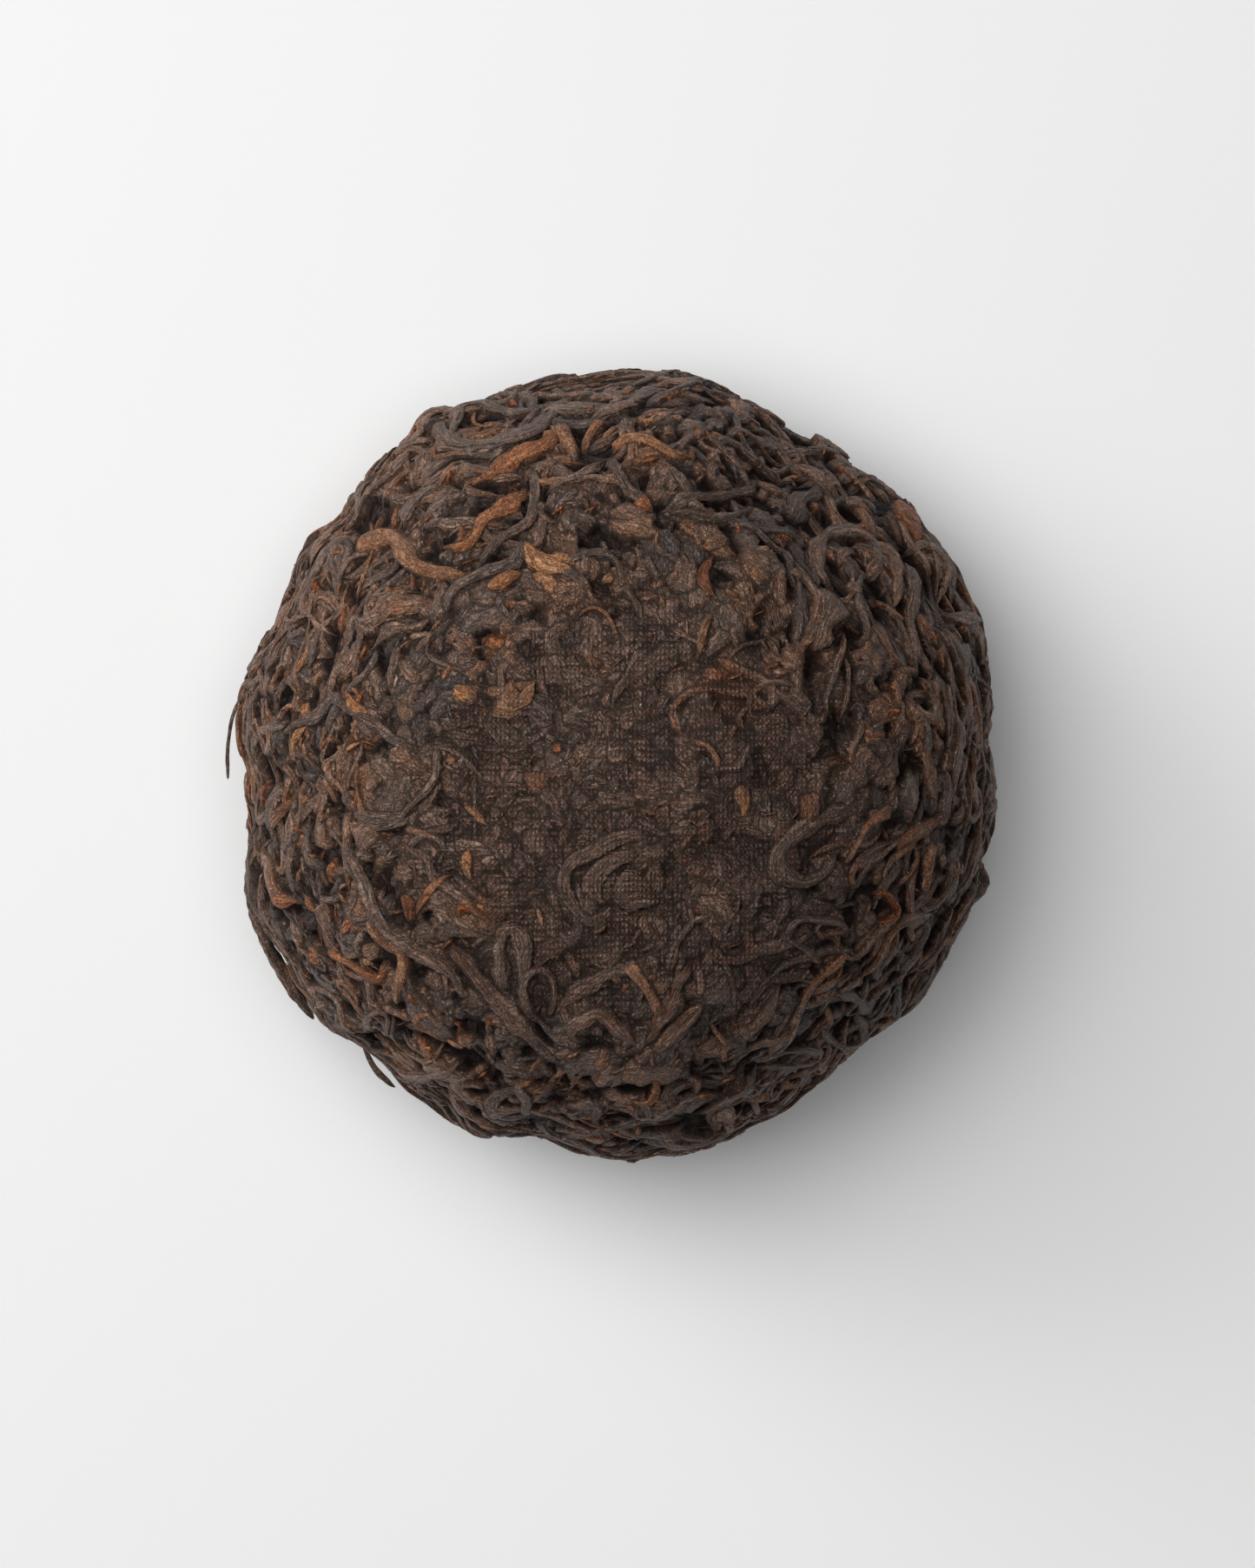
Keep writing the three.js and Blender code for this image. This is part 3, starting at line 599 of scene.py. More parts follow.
# Leaves that the photograph shows, in the order that they lie: kind, width in pixels, how proud they
# stand, tone at the start and at the end, and the pixels that they pass
SHOWN = {
    "grey_fold": (BROAD, 30, 0.7, 0.2, 0.25, (512, 501), (522, 513), (561, 513), (607, 496), (644, 470)),
    "grey_fold_edge": (ROLLED, 13, 0.7, 0.25, 0.2, (510, 492), (545, 484), (600, 476), (640, 468)),
    "left_bend": (ROLLED, 12, 0.5, 0.3, 0.2, (324, 849), (340, 835), (369, 821), (385, 804), (403, 818),
                  (432, 835), (454, 853), (480, 861)),
    "arrow_plate": (BROAD, 26, 0.3, 0.15, 0.2, (405, 938), (440, 945), (475, 938)),
    "blue_plate": (BROAD, 26, 0.0, 0.0, 0.05, (558, 824), (577, 838), (598, 858)),
    "blue_plate_two": (BROAD, 28, 0.0, 0.05, 0.05, (597, 803), (615, 817), (634, 834)),
    "leaf_plate": (BROAD, 35, 0.2, 0.3, 0.35, (962, 680), (950, 712), (937, 749)),
    "edge_plate": (BROAD, 32, 0.3, 0.2, 0.25, (1082, 722), (1100, 748), (1116, 776)),
    "edge_red_leaf": (BROAD, 34, 0.3, 0.85, 0.95, (1028, 582), (1046, 598), (1064, 616)),
    "low_blue_plate": (BROAD, 22, 0.2, 0.05, 0.1, (894, 1154), (922, 1154)),
    "centre_fold_outer": (ROLLED, 19, 0.1, 0.3, 0.4, (690, 1068), (665, 1052), (651, 1030), (652, 1005),
                          (674, 984), (713, 966), (748, 962)),
    "centre_fold_second": (ROLLED, 17, 0.1, 0.4, 0.3, (700, 1045), (680, 1024), (686, 1008), (706, 992),
                           (742, 980)),
    "centre_fold_core": (BROAD, 30, 0.1, 0.45, 0.4, (704, 1034), (733, 1030), (764, 1038)),
    "hairpin": (ROLLED, 16, 0.4, 0.35, 0.3, (580, 1150), (576, 1110), (579, 1076), (591, 1068), (602, 1078),
                (603, 1110), (600, 1148)),
    "tear_loop": (THIN, 10, 0.5, 0.3, 0.3, (622, 1184), (606, 1160), (605, 1130), (618, 1117), (634, 1126),
                  (638, 1150), (630, 1178)),
    "ring_low": (THIN, 8, 0.5, 0.4, 0.5, (436, 1192), (424, 1184), (424, 1171), (436, 1165), (448, 1172),
                 (447, 1186), (438, 1192)),
    "oval_loop": (ROLLED, 20, 0.5, 0.35, 0.3, (991, 932), (951, 940), (914, 962), (897, 984), (904, 1008),
                  (927, 1016), (951, 1003), (966, 980)),
    "spiral": (ROLLED, 18, 0.5, 0.3, 0.35, (962, 680), (944, 658), (939, 634), (955, 616), (983, 614),
               (1003, 630), (1008, 652), (1000, 668)),
    "spiral_core": (BROAD, 18, 0.3, 0.35, 0.4, (966, 652), (976, 636), (992, 640)),
    "gilded_leaf": (BROAD, 20, 0.6, 0.6, 0.5, (999, 625), (1021, 644), (1028, 669), (1030, 699)),
    "round_tip": (BROAD, 34, 0.4, 0.15, 0.2, (915, 600), (925, 576), (945, 562)),
    "upright_dark": (ROLLED, 20, 0.5, 0.15, 0.2, (920, 665), (921, 700), (917, 746)),
    "right_rib": (ROLLED, 19, 0.6, 0.25, 0.3, (1043, 640), (1048, 701), (1050, 735), (1054, 768)),
    "right_bundle_one": (ROLLED, 12, 0.6, 0.3, 0.3, (1088, 742), (1098, 800), (1100, 860), (1094, 930)),
    "right_bundle_two": (ROLLED, 11, 0.6, 0.45, 0.3, (1106, 760), (1114, 820), (1116, 900), (1110, 970)),
    "right_bundle_three": (ROLLED, 13, 0.6, 0.2, 0.3, (1122, 770), (1130, 850), (1128, 940), (1120, 1010)),
    "right_short": (ROLLED, 12, 0.5, 0.35, 0.3, (1083, 706), (1104, 712), (1128, 716)),
    "tan_stub": (ROLLED, 18, 0.9, 0.8, 0.9, (1083, 945), (1059, 957), (1040, 968), (1034, 982)),
    "dark_stub": (STALK, 19, 0.9, 0.25, 0.3, (1071, 967), (1068, 1000), (1062, 1034)),
    "red_ring": (THIN, 9, 0.8, 0.95, 0.9, (1004, 1030), (1018, 1029), (1032, 1044), (1028, 1058),
                 (1009, 1062)),
    "right_strand": (ROLLED, 14, 0.7, 0.5, 0.7, (1075, 1053), (1041, 1062), (1023, 1078), (1012, 1103),
                     (990, 1128)),
    "low_right_loop": (THIN, 10, 0.6, 0.3, 0.35, (905, 1080), (912, 1066), (928, 1059), (966, 1064),
                       (977, 1082)),
    "low_right_loop_two": (THIN, 9, 0.6, 0.3, 0.3, (905, 1080), (928, 1094), (950, 1111)),
    "brown_slant": (THIN, 10, 0.6, 0.85, 0.35, (968, 1103), (926, 1148), (899, 1204)),
    "fan_loop": (ROLLED, 13, 0.5, 0.3, 0.35, (945, 1183), (955, 1199), (978, 1202), (994, 1188),
                 (986, 1168)),
    "fan_piece": (BROAD, 20, 0.4, 0.25, 0.3, (960, 1140), (985, 1150), (1004, 1172)),
    "low_hairpin": (ROLLED, 12, 0.5, 0.3, 0.3, (864, 1222), (902, 1213), (936, 1207), (938, 1219),
                    (905, 1226), (872, 1232)),
    "bottom_leaf": (BROAD, 22, 0.6, 0.55, 0.45, (800, 1105), (776, 1142), (762, 1174), (742, 1207)),
    "bottom_leaf_two": (ROLLED, 18, 0.6, 0.6, 0.4, (812, 1154), (784, 1182), (752, 1213)),
    "bottom_fork": (ROLLED, 16, 0.6, 0.5, 0.35, (735, 1207), (712, 1184), (690, 1166), (668, 1176),
                    (662, 1190), (676, 1208)),
    "bottom_stub": (STALK, 14, 0.8, 0.45, 0.3, (721, 1108), (744, 1136), (763, 1170)),
    "brown_low": (THIN, 12, 0.5, 0.6, 0.5, (438, 1157), (460, 1167), (482, 1175)),
    "red_twig": (THIN, 11, 0.6, 0.75, 0.8, (373, 1096), (403, 1110), (434, 1127), (447, 1108)),
    "red_strand": (THIN, 12, 0.6, 0.75, 0.6, (424, 1055), (444, 1084), (460, 1096), (464, 1118),
                   (460, 1142), (456, 1158)),
    "wire": (THIN, 6, 0.8, 0.4, 0.45, (452, 1170), (458, 1196), (475, 1215), (500, 1217), (510, 1201)),
    "grey_low": (ROLLED, 14, 0.6, 0.45, 0.4, (457, 1231), (480, 1237), (504, 1235), (530, 1222)),
    "dark_drop": (THIN, 11, 0.6, 0.2, 0.25, (503, 858), (501, 897), (476, 927), (458, 948)),
    "long_leaf": (ROLLED, 18, 0.8, 0.25, 0.3, (396, 950), (403, 980), (415, 1008), (431, 1044), (449, 1072),
                  (475, 1092), (503, 1107), (521, 1122), (533, 1142), (548, 1152)),
    "thick_leaf": (ROLLED, 24, 0.9, 0.5, 0.2, (514, 1086), (548, 1127), (579, 1161), (620, 1202),
                   (654, 1229)),
    "lens_upper": (ROLLED, 13, 0.5, 0.2, 0.25, (768, 586), (800, 574), (840, 568), (866, 563), (873, 547)),
    "lens_lower": (ROLLED, 13, 0.5, 0.25, 0.2, (768, 590), (807, 596), (840, 598), (873, 584)),
    "top_dark": (ROLLED, 12, 0.6, 0.2, 0.2, (704, 519), (707, 538), (719, 559), (740, 573), (751, 582)),
    "top_brown": (ROLLED, 12, 0.6, 0.4, 0.3, (696, 525), (678, 544), (656, 555), (626, 567)),
    "top_hook": (THIN, 10, 0.6, 0.35, 0.3, (824, 530), (818, 544), (826, 556), (846, 557)),
    "tan_bow": (STALK, 12, 1.0, 0.6, 0.7, (704, 520), (712, 510), (726, 507), (747, 511), (765, 520),
                (779, 527), (797, 525)),
    "tan_post": (STALK, 15, 1.0, 0.5, 0.3, (642, 489), (649, 502), (656, 513), (664, 530)),
    "tan_post_two": (STALK, 13, 1.0, 0.6, 0.5, (695, 483), (680, 498), (670, 521)),
    "golden_fan_tip": (GOLDEN, 12, 0.8, 0.3, 0.1, (606, 528), (585, 538), (560, 552), (541, 558)),
    "golden_fan": (GOLDEN, 24, 0.9, 0.35, 0.2, (646, 499), (628, 508), (606, 520), (584, 536), (566, 550)),
    "golden_curl": (GOLDEN, 16, 1.0, 0.35, 0.45, (599, 555), (602, 566), (591, 574), (575, 588), (561, 600),
                    (551, 611), (541, 624), (525, 630), (502, 627)),
    "tan_arm": (STALK, 17, 0.8, 0.2, 0.5, (409, 638), (430, 624), (452, 619), (468, 637), (479, 652),
                (499, 660), (517, 662), (541, 666)),
    "golden_wedge": (BUD, 13, 0.7, 0.5, 0.4, (558, 677), (582, 667), (606, 659)),
    "dark_branch": (ROLLED, 15, 1.0, 0.2, 0.15, (601, 620), (593, 645), (580, 652), (561, 659), (542, 669),
                    (527, 680), (517, 694), (509, 708)),
    "dark_hook": (ROLLED, 12, 1.0, 0.15, 0.2, (611, 535), (616, 556), (616, 574), (609, 598), (593, 613),
                  (574, 623), (560, 638), (546, 662)),
    "orange_chip": (BUD, 12, 0.8, 0.1, 0.2, (823, 637), (813, 652), (811, 668), (825, 690)),
    "thin_arc": (STALK, 5, 0.9, 0.6, 0.6, (666, 711), (673, 703), (686, 700), (699, 709), (711, 733)),
    "thin_strip": (STALK, 7, 0.6, 0.4, 0.5, (819, 708), (809, 727), (806, 754)),
    "tan_strip": (STALK, 7, 0.6, 0.6, 0.4, (799, 853), (818, 862), (830, 885)),
    "golden_left_top": (BUD, 14, 0.6, 0.4, 0.6, (344, 776), (350, 762), (358, 745)),
    "tan_stripes": (BROAD, 14, 0.1, 0.6, 0.5, (310, 738), (318, 722), (328, 706)),
    "rust_piece": (ROLLED, 17, 0.4, 0.9, 1.0, (928, 912), (932, 930), (928, 950)),
    "golden_edge": (BUD, 11, 0.6, 0.5, 0.6, (277, 920), (279, 938), (283, 955)),
    "golden_left_one": (BUD, 7, 0.5, 0.7, 0.7, (354, 808), (350, 829)),
    "golden_left_two": (BUD, 9, 0.5, 0.7, 0.8, (354, 836), (340, 851), (340, 867), (348, 874)),
    "golden_left_three": (BUD, 10, 0.6, 0.5, 0.6, (396, 793), (409, 812), (425, 821)),
    "golden_arc": (BUD, 8, 0.5, 0.7, 0.7, (386, 859), (398, 865), (416, 854)),
    "orange_pair": (BUD, 9, 0.6, 0.3, 0.4, (519, 1008), (502, 1018), (487, 1038), (477, 1055)),
    "orange_stem": (GOLDEN, 13, 0.6, 0.3, 0.4, (466, 1028), (468, 1048), (471, 1068)),
    "orange_hook": (STALK, 8, 1.0, 0.6, 0.5, (500, 1166), (484, 1168), (483, 1181), (501, 1193),
                    (515, 1202), (522, 1215)),
    "bottom_curl": (GOLDEN, 13, 1.0, 0.5, 0.8, (750, 1240), (755, 1254), (747, 1267), (727, 1265)),
    "bottom_knob": (BUD, 13, 0.5, 0.1, 0.2, (703, 1126), (716, 1132)),
    "golden_brown_right": (STALK, 10, 0.7, 0.5, 0.4, (1027, 931), (1001, 948), (984, 975), (974, 996)),
    "golden_brown_low": (STALK, 9, 0.6, 0.5, 0.4, (988, 990), (980, 1010), (988, 1026)),
    "loop_gold": (BUD, 8, 0.5, 0.6, 0.5, (938, 1068), (950, 1086)),
    "orange_splinter": (STALK, 10, 0.8, 0.8, 0.7, (972, 1097), (945, 1124)),
    "pale_splinter": (STALK, 4, 0.9, 0.8, 0.9, (970, 1115), (961, 1128)),
    "edge_orange": (BUD, 13, 0.5, 0.2, 0.3, (1080, 1080), (1094, 1084)),
    "fan_stub": (STALK, 10, 0.6, 0.7, 0.6, (951, 1158), (957, 1182)),
    "centre_golden": (GOLDEN, 14, 0.3, 0.6, 0.7, (853, 903), (858, 922), (855, 943)),
    "golden_triangle": (GOLDEN, 15, 0.3, 0.8, 0.7, (556, 797), (578, 796), (600, 791), (619, 783)),
    "golden_triangle_low": (GOLDEN, 20, 0.3, 0.7, 0.8, (573, 798), (588, 807), (606, 813)),
    "golden_triangle_end": (GOLDEN, 15, 0.3, 0.7, 0.8, (616, 786), (609, 800), (597, 816)),
    "golden_patch": (GOLDEN, 16, 0.3, 0.7, 0.8, (522, 790), (536, 796), (552, 803)),
    "golden_flake_one": (GOLDEN, 19, 0.4, 0.7, 0.8, (604, 622), (616, 640), (634, 654), (660, 656)),
    "golden_flake_two": (GOLDEN, 19, 0.4, 0.7, 0.8, (632, 644), (650, 642), (662, 650)),
    "golden_flake_tail": (GOLDEN, 13, 0.4, 0.7, 0.8, (613, 661), (628, 668), (640, 687)),
    "golden_flake_three": (GOLDEN, 17, 0.4, 0.7, 0.8, (692, 668), (710, 668)),
    "golden_splay_one": (BUD, 9, 0.4, 0.5, 0.6, (530, 924), (548, 936), (562, 952)),
    "golden_splay_two": (BUD, 8, 0.4, 0.7, 0.6, (529, 940), (543, 950)),
    "golden_upright": (BUD, 9, 0.4, 0.7, 0.8, (540, 978), (538, 998), (543, 1016)),
    "yellow_chip": (BUD, 11, 0.4, 0.9, 0.8, (619, 1046), (625, 1066)),
    "red_knob": (BUD, 26, 0.3, 0.1, 0.3, (602, 890), (617, 898), (632, 908)),
    "orange_spot": (BUD, 9, 0.2, 0.4, 0.5, (516, 868), (520, 880)),
    "orange_spot_two": (BUD, 9, 0.2, 0.5, 0.5, (640, 856), (642, 868)),
    "orange_top_spot": (BUD, 18, 0.3, 0.2, 0.3, (728, 578), (752, 588)),
    "orange_patch": (BUD, 15, 0.5, 0.3, 0.4, (311, 1032), (341, 1040)),
    "orange_patch_two": (BUD, 10, 0.5, 0.4, 0.3, (350, 1031), (367, 1055)),
    "orange_patch_three": (BUD, 12, 0.5, 0.3, 0.3, (357, 1101), (369, 1111)),
    "pale_chip": (BROAD, 16, 0.8, 0.5, 0.55, (417, 1100), (437, 1090)),
    "pale_chip_tip": (BUD, 6, 0.9, 0.9, 0.9, (416, 1104), (428, 1112)),
    "bottom_streak": (BUD, 8, 0.4, 0.4, 0.4, (850, 1268), (892, 1257)),
    "bottom_streak_two": (BUD, 8, 0.4, 0.4, 0.4, (698, 1300), (736, 1308)),
    "left_fork": (THIN, 8, 0.5, 0.6, 0.6, (334, 893), (329, 918), (330, 934)),
    "left_fork_two": (THIN, 8, 0.5, 0.6, 0.5, (350, 898), (352, 923), (358, 943)),
    "red_bit": (BUD, 9, 0.5, 0.1, 0.1, (415, 913), (411, 931)),
}

# Where the photograph shows redder or darker leaf: middle and radius in pixels, how much redder, and how
# much darker. The darker share is painted shade on the sides away from the lamps (lower right, bottom,
# upper right), and painted light where it is negative (upper left). The redder share is the leaf's own
# rust, and painted light on the lit upper left and left flank
STAINS_AND_PAINTED_LIGHT = {
    # lower right, bottom and upper right: painted shade; upper left and left flank: painted light
    "lower_right": (1010, 1090, 260, 0.0, 0.3),
    "right_flank": (1100, 800, 200, 0.1, 0.0),
    "bottom": (640, 1260, 200, 0.0, 0.15),
    "upper_right": (930, 600, 200, 0.0, 0.15),
    "upper_left": (430, 590, 170, 0.15, -0.15),
    "left_flank": (290, 880, 130, 0.15, 0.0),
    "right_of_middle": (838, 788, 30, 0.7, 0.0),
    "above_middle": (688, 763, 15, 0.4, 0.0),
    "small_right": (898, 895, 14, 0.4, 0.0),
    "right_column": (797, 965, 20, 0.35, 0.0),
    "right_column_low": (806, 1008, 16, 0.35, 0.0),
    "left_wrinkles": (570, 730, 18, 0.4, 0.0),
    "top_right": (865, 655, 18, 0.35, 0.0),
    "far_right": (968, 875, 12, 0.4, 0.0),
    "low_left_fold": (555, 1045, 24, 0.4, 0.0),
    "top_left": (491, 510, 16, 0.4, 0.0),
    "left_edge": (375, 688, 18, 0.35, 0.0),
}

# Leaves that stand off the outline: width and route in millimetres, as the frame's solid has them
LOOSE = {
    "left_hair": (THIN, 0.5, 0.2, (-37.4, 9.6, 15.4), (-39.7, 7.4, 15.2), (-40.6, 5.2, 15.0),
                  (-41.1, 1.6, 14.6), (-41.0, -1.8, 14.2)),
    "left_hanging": (ROLLED, 2.1, 0.3, (-37.2, -7.2, 14.8), (-39.0, -12.0, 14.0), (-38.2, -15.6, 13.2),
                     (-36.8, -19.2, 12.4), (-34.6, -23.2, 11.6), (-31.8, -27.3, 11.0)),
    "lower_left_tail": (ROLLED, 1.2, 0.3, (-27.4, -26.6, 13.4), (-26.2, -31.2, 12.4), (-24.9, -33.0, 11.8),
                        (-23.0, -34.4, 11.4)),
    "right_nub": (THIN, 0.9, 0.2, (36.2, -8.6, 14.6), (39.3, -11.0, 14.0), (39.4, -12.6, 13.4),
                  (36.4, -15.6, 12.8)),
}


def lay_shown():
    """The leaves that the photograph shows one by one."""
    laid = []
    for kind, width, proud, first, last, *pixels in SHOWN.values():
        path = smooth_path([chart_of_pixel(pixel) for pixel in pixels])
        laid.append(Leaf(OUTSIDE, path, width * PIXEL, kind, (first, last), proud).lay())
    return laid


# How often leaves have each habit
FREE = {"wave": 4, "kink": 3, "hook": 2, "fold": 1, "curl": 0.6}
CURLY = {"wave": 1, "kink": 2, "hook": 2, "fold": 2, "curl": 1}
PLAIN = {"wave": 1, "kink": 1}

# Zones of a side, between two distances from its pole
ALL_OVER = (0.5, 65.0)
CROWN = (0.5, 30.0)
SHOULDER = (14.0, 65.0)
FOOT = (62.0, 77.0)
UNDER = (0.5, 41.0)
SKIN = 99.0  # farther from the pole than any leaf, so that all of a bed stays part of the skin
AT_RANDOM = {"steer": 0.0, "tries": 1}  # for crumbs, which follow no grain and fill no gap


def lay_all():
    """Every leaf of the nest, from the lowest bed to the ones on top.

    A bed is a side, a count, a kind, ranges of length, width and tone, a zone and habits.
    """
    beds = [
        scatter(OUTSIDE, 620, BROAD, (9, 20), (2.0, 3.6), (0.1, 0.6), ALL_OVER, PLAIN, skin=SKIN),
        scatter(OUTSIDE, 900, ROLLED, (6, 18), (1.0, 2.2), (0.1, 0.6), ALL_OVER, FREE, skin=30.0),
        scatter(OUTSIDE, 260, BROAD, (4, 10), (1.6, 3.6), (0.05, 0.6), CROWN, PLAIN, skin=SKIN),
        scatter(OUTSIDE, 1500, ROLLED, (2, 6), (0.5, 1.3), (0.05, 0.75), ALL_OVER, FREE, skin=SKIN),
        scatter(OUTSIDE, 420, BROAD, (2, 6), (0.9, 2.4), (0.1, 0.6), CROWN, FREE, skin=SKIN),
        scatter(OUTSIDE, 50, BUD, (2, 6), (0.6, 1.3), (0.0, 0.6), ALL_OVER, FREE),
        scatter(OUTSIDE, 520, ROLLED, (5, 16), (0.9, 1.9), (0.1, 0.6), SHOULDER, CURLY),
        scatter(OUTSIDE, 240, BROAD, (3, 8), (1.4, 2.8), (0.15, 0.65), SHOULDER, FREE, skin=36.0),
        scatter(OUTSIDE, 250, THIN, (4, 14), (0.5, 1.0), (0.1, 0.6), SHOULDER, CURLY),
        scatter(OUTSIDE, 18, THIN, (3, 8), (0.4, 0.7), (0.1, 0.6), CROWN, FREE),
        scatter(OUTSIDE, 40, STALK, (3, 8), (0.4, 0.8), (0.0, 0.5), SHOULDER, FREE),
        scatter(OUTSIDE, 700, ROLLED, (1.5, 4), (0.4, 1.0), (0.05, 0.8), ALL_OVER, CURLY, skin=SKIN),
        scatter(OUTSIDE, 900, CRUMB, (0.8, 2.4), (0.25, 0.6), (0.1, 1.0), ALL_OVER, PLAIN, **AT_RANDOM),
        scatter(UNDERSIDE, 240, BROAD, (9, 18), (2.0, 3.4), (0.1, 0.6), UNDER, PLAIN, skin=SKIN),
        scatter(UNDERSIDE, 300, ROLLED, (7, 18), (1.0, 2.0), (0.05, 0.7), UNDER, FREE, skin=SKIN),
        scatter(UNDERSIDE, 500, ROLLED, (2, 7), (0.6, 1.3), (0.0, 0.9), UNDER, CURLY, skin=SKIN),
        scatter(UNDERSIDE, 150, ROLLED, (6, 16), (0.9, 1.8), (0.05, 0.7), UNDER, FREE),
        scatter(UNDERSIDE, 110, THIN, (5, 13), (0.5, 1.0), (0.1, 0.9), UNDER, CURLY),
        scatter(UNDERSIDE, 24, BUD, (3, 7), (0.7, 1.3), (0.0, 0.9), UNDER, FREE),
        scatter(UNDERSIDE, 260, CRUMB, (0.8, 2.4), (0.25, 0.6), (0.1, 1.0), UNDER, PLAIN, **AT_RANDOM),
        lay_shown(),
        scatter(OUTSIDE, 170, BROAD, (9, 18), (2.0, 3.4), (0.1, 0.6), FOOT, PLAIN, skin=SKIN),
        scatter(OUTSIDE, 260, ROLLED, (7, 18), (1.0, 2.0), (0.05, 0.7), FOOT, FREE, skin=SKIN),
        scatter(OUTSIDE, 330, ROLLED, (2, 7), (0.6, 1.3), (0.0, 0.8), FOOT, CURLY, skin=SKIN),
        scatter(OUTSIDE, 100, ROLLED, (6, 14), (0.9, 1.8), (0.05, 0.7), FOOT, FREE),
    ]
    return [leaf for bed in beds for leaf in bed if not leaf.skin]


# Pressing

STAIN_AND_PAINTED_LIGHT_PLACES = [(chart_of_pixel((x, y)), radius * PIXEL, kind) for x, y, radius, *kind in STAINS_AND_PAINTED_LIGHT.values()]


def stains_and_painted_light_at(side, chart):
    """How much redder a place is than its leaf, and how much painted shade darkens it, painted light where
    that is negative.
    """
    redder, painted_darkness = np.zeros((2, *chart.shape[:-1]))
    if side is OUTSIDE:
        for middle, radius, (red, dark) in STAIN_AND_PAINTED_LIGHT_PLACES:
            away = np.hypot(chart[..., 0] - middle[0], chart[..., 1] - middle[1]) / radius
            redder += red * np.exp(-(away**2))
            painted_darkness += dark * np.exp(-(away**2))
    return redder, painted_darkness


def flatness_at(side, chart):
    """How much the cloth flattened a place, from 0 on the free flank to 1 on the crown."""
    if side is UNDERSIDE:
        return np.full(chart.shape[:-1], UNDERSIDE_FLAT)
    from_middle = np.hypot(chart[..., 0] - PRESSED_MIDDLE[0], chart[..., 1] - PRESSED_MIDDLE[1])
    x, y = chart[..., 0], chart[..., 1]
    ragged = 3.0 * np.sin(x / 4.1 + 1.0) * np.sin(y / 3.7) + 1.6 * np.sin((x - y) / 1.9)
    return 1 - smoothstep(from_middle + ragged, *PRESSED_RADIUS)


def between(pair, flat):
    """A value between that of a free place and that of a flat one."""
    return pair[0] + (pair[1] - pair[0]) * flat


def press(side, cloth, chart, height, proud):
    """Heights over the form after the cloth was pulled tight, the painted shade that each gap gets in
    colour, and how flat it lies.
    """
    flat = flatness_at(side, chart) * (1 - PROUD_FREE * proud)
    above = height - side.read(cloth, chart)
    highest, deepest = between(HIGHEST, flat), between(DEEPEST, flat)
    over = highest * np.tanh(np.maximum(above, 0) * between(RISE, flat) / highest)
    gap = np.tanh(np.maximum(-above, 0) * between(FALL, flat) / deepest)
    return over - deepest * gap + between(SKIN_LIFT, flat), gap * between(GAP_PAINTED_SHADE, flat), flat


# Meshes

class JoinedMesh:
    """The joined mesh of many grids of points, with what their finish needs to know."""

    def __init__(self, name):
        self.name = name
        self.points, self.faces, self.layout, self.grain = [], [], [], []
        self.marks = {"tone": [], "depth": [], "print": []}
        self.count = 0

    def add(self, points, tone, depth, printed, layout, grain):
        """Adds a grid of points as faces; a layout with a column more than the points closes it round."""
        rows, cols = points.shape[:2]
        numbers = self.count + np.arange(rows * cols).reshape(rows, cols)
        if layout.shape[1] > cols:
            numbers = np.concatenate([numbers, numbers[:, :1]], axis=1)
        self.faces.append(corners_of(numbers).reshape(-1))
        self.layout.append(corners_of(layout).reshape(-1, 2))
        self.grain.append(corners_of(grain).reshape(-1, 2))
        self.points.append(points.reshape(-1, 3))
        for name, values in (("tone", tone), ("depth", depth), ("print", printed)):
            self.marks[name].append(np.broadcast_to(values, (rows, cols)).ravel())
        self.count += rows * cols

    def build(self, material, slot):
        """Makes the piece, with its finish; the slot that it is given is not used."""
        mesh = bpy.data.meshes.new(self.name)
        points = (np.concatenate(self.points) + [*FORM_PLACE, 0]) * MM
        points[:, 2] = flattened(points[:, 2])
        corners, span = shelves([layout.max(axis=0) + GUTTER for layout in self.layout])
        atlas = [(layout + corner) / span for layout, corner in zip(self.layout, corners)]
        loops = np.concatenate(self.faces)
        mesh.vertices.add(len(points))
        mesh.vertices.foreach_set("co", points.ravel())
        mesh.loops.add(len(loops))
        mesh.loops.foreach_set("vertex_index", loops)
        mesh.polygons.add(len(loops) // 4)
        mesh.polygons.foreach_set("loop_start", np.arange(0, len(loops), 4))
        mesh.polygons.foreach_set("loop_total", np.full(len(loops) // 4, 4))
        mesh.polygons.foreach_set("use_smooth", np.ones(len(loops) // 4, bool))
        for name, values in (("OFBake", atlas), ("grain", self.grain)):
            mesh.uv_layers.new(name=name).data.foreach_set("uv", np.concatenate(values).ravel())
        for name, values in self.marks.items():
            mesh.attributes.new(name, "FLOAT", "POINT").data.foreach_set("value", np.concatenate(values))
        mesh.update(calc_edges=True)
        mesh.validate()
        mesh.materials.append(material)
        piece = bpy.data.objects.new(self.name, mesh)
        bpy.context.scene.collection.objects.link(piece)
        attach(piece, "root")
        return piece


def flattened(heights):
    """Heights with all that would lie below the table pressed into a thin layer on it."""
    layer = FLAT_LAYER * MM
    return np.where(heights < layer, layer * np.exp(np.minimum(heights, layer) / layer - 1), heights)


def corners_of(grid):
    """The four corners of every face of a grid."""
    return np.stack([grid[:-1, :-1], grid[:-1, 1:], grid[1:, 1:], grid[1:, :-1]], 2)


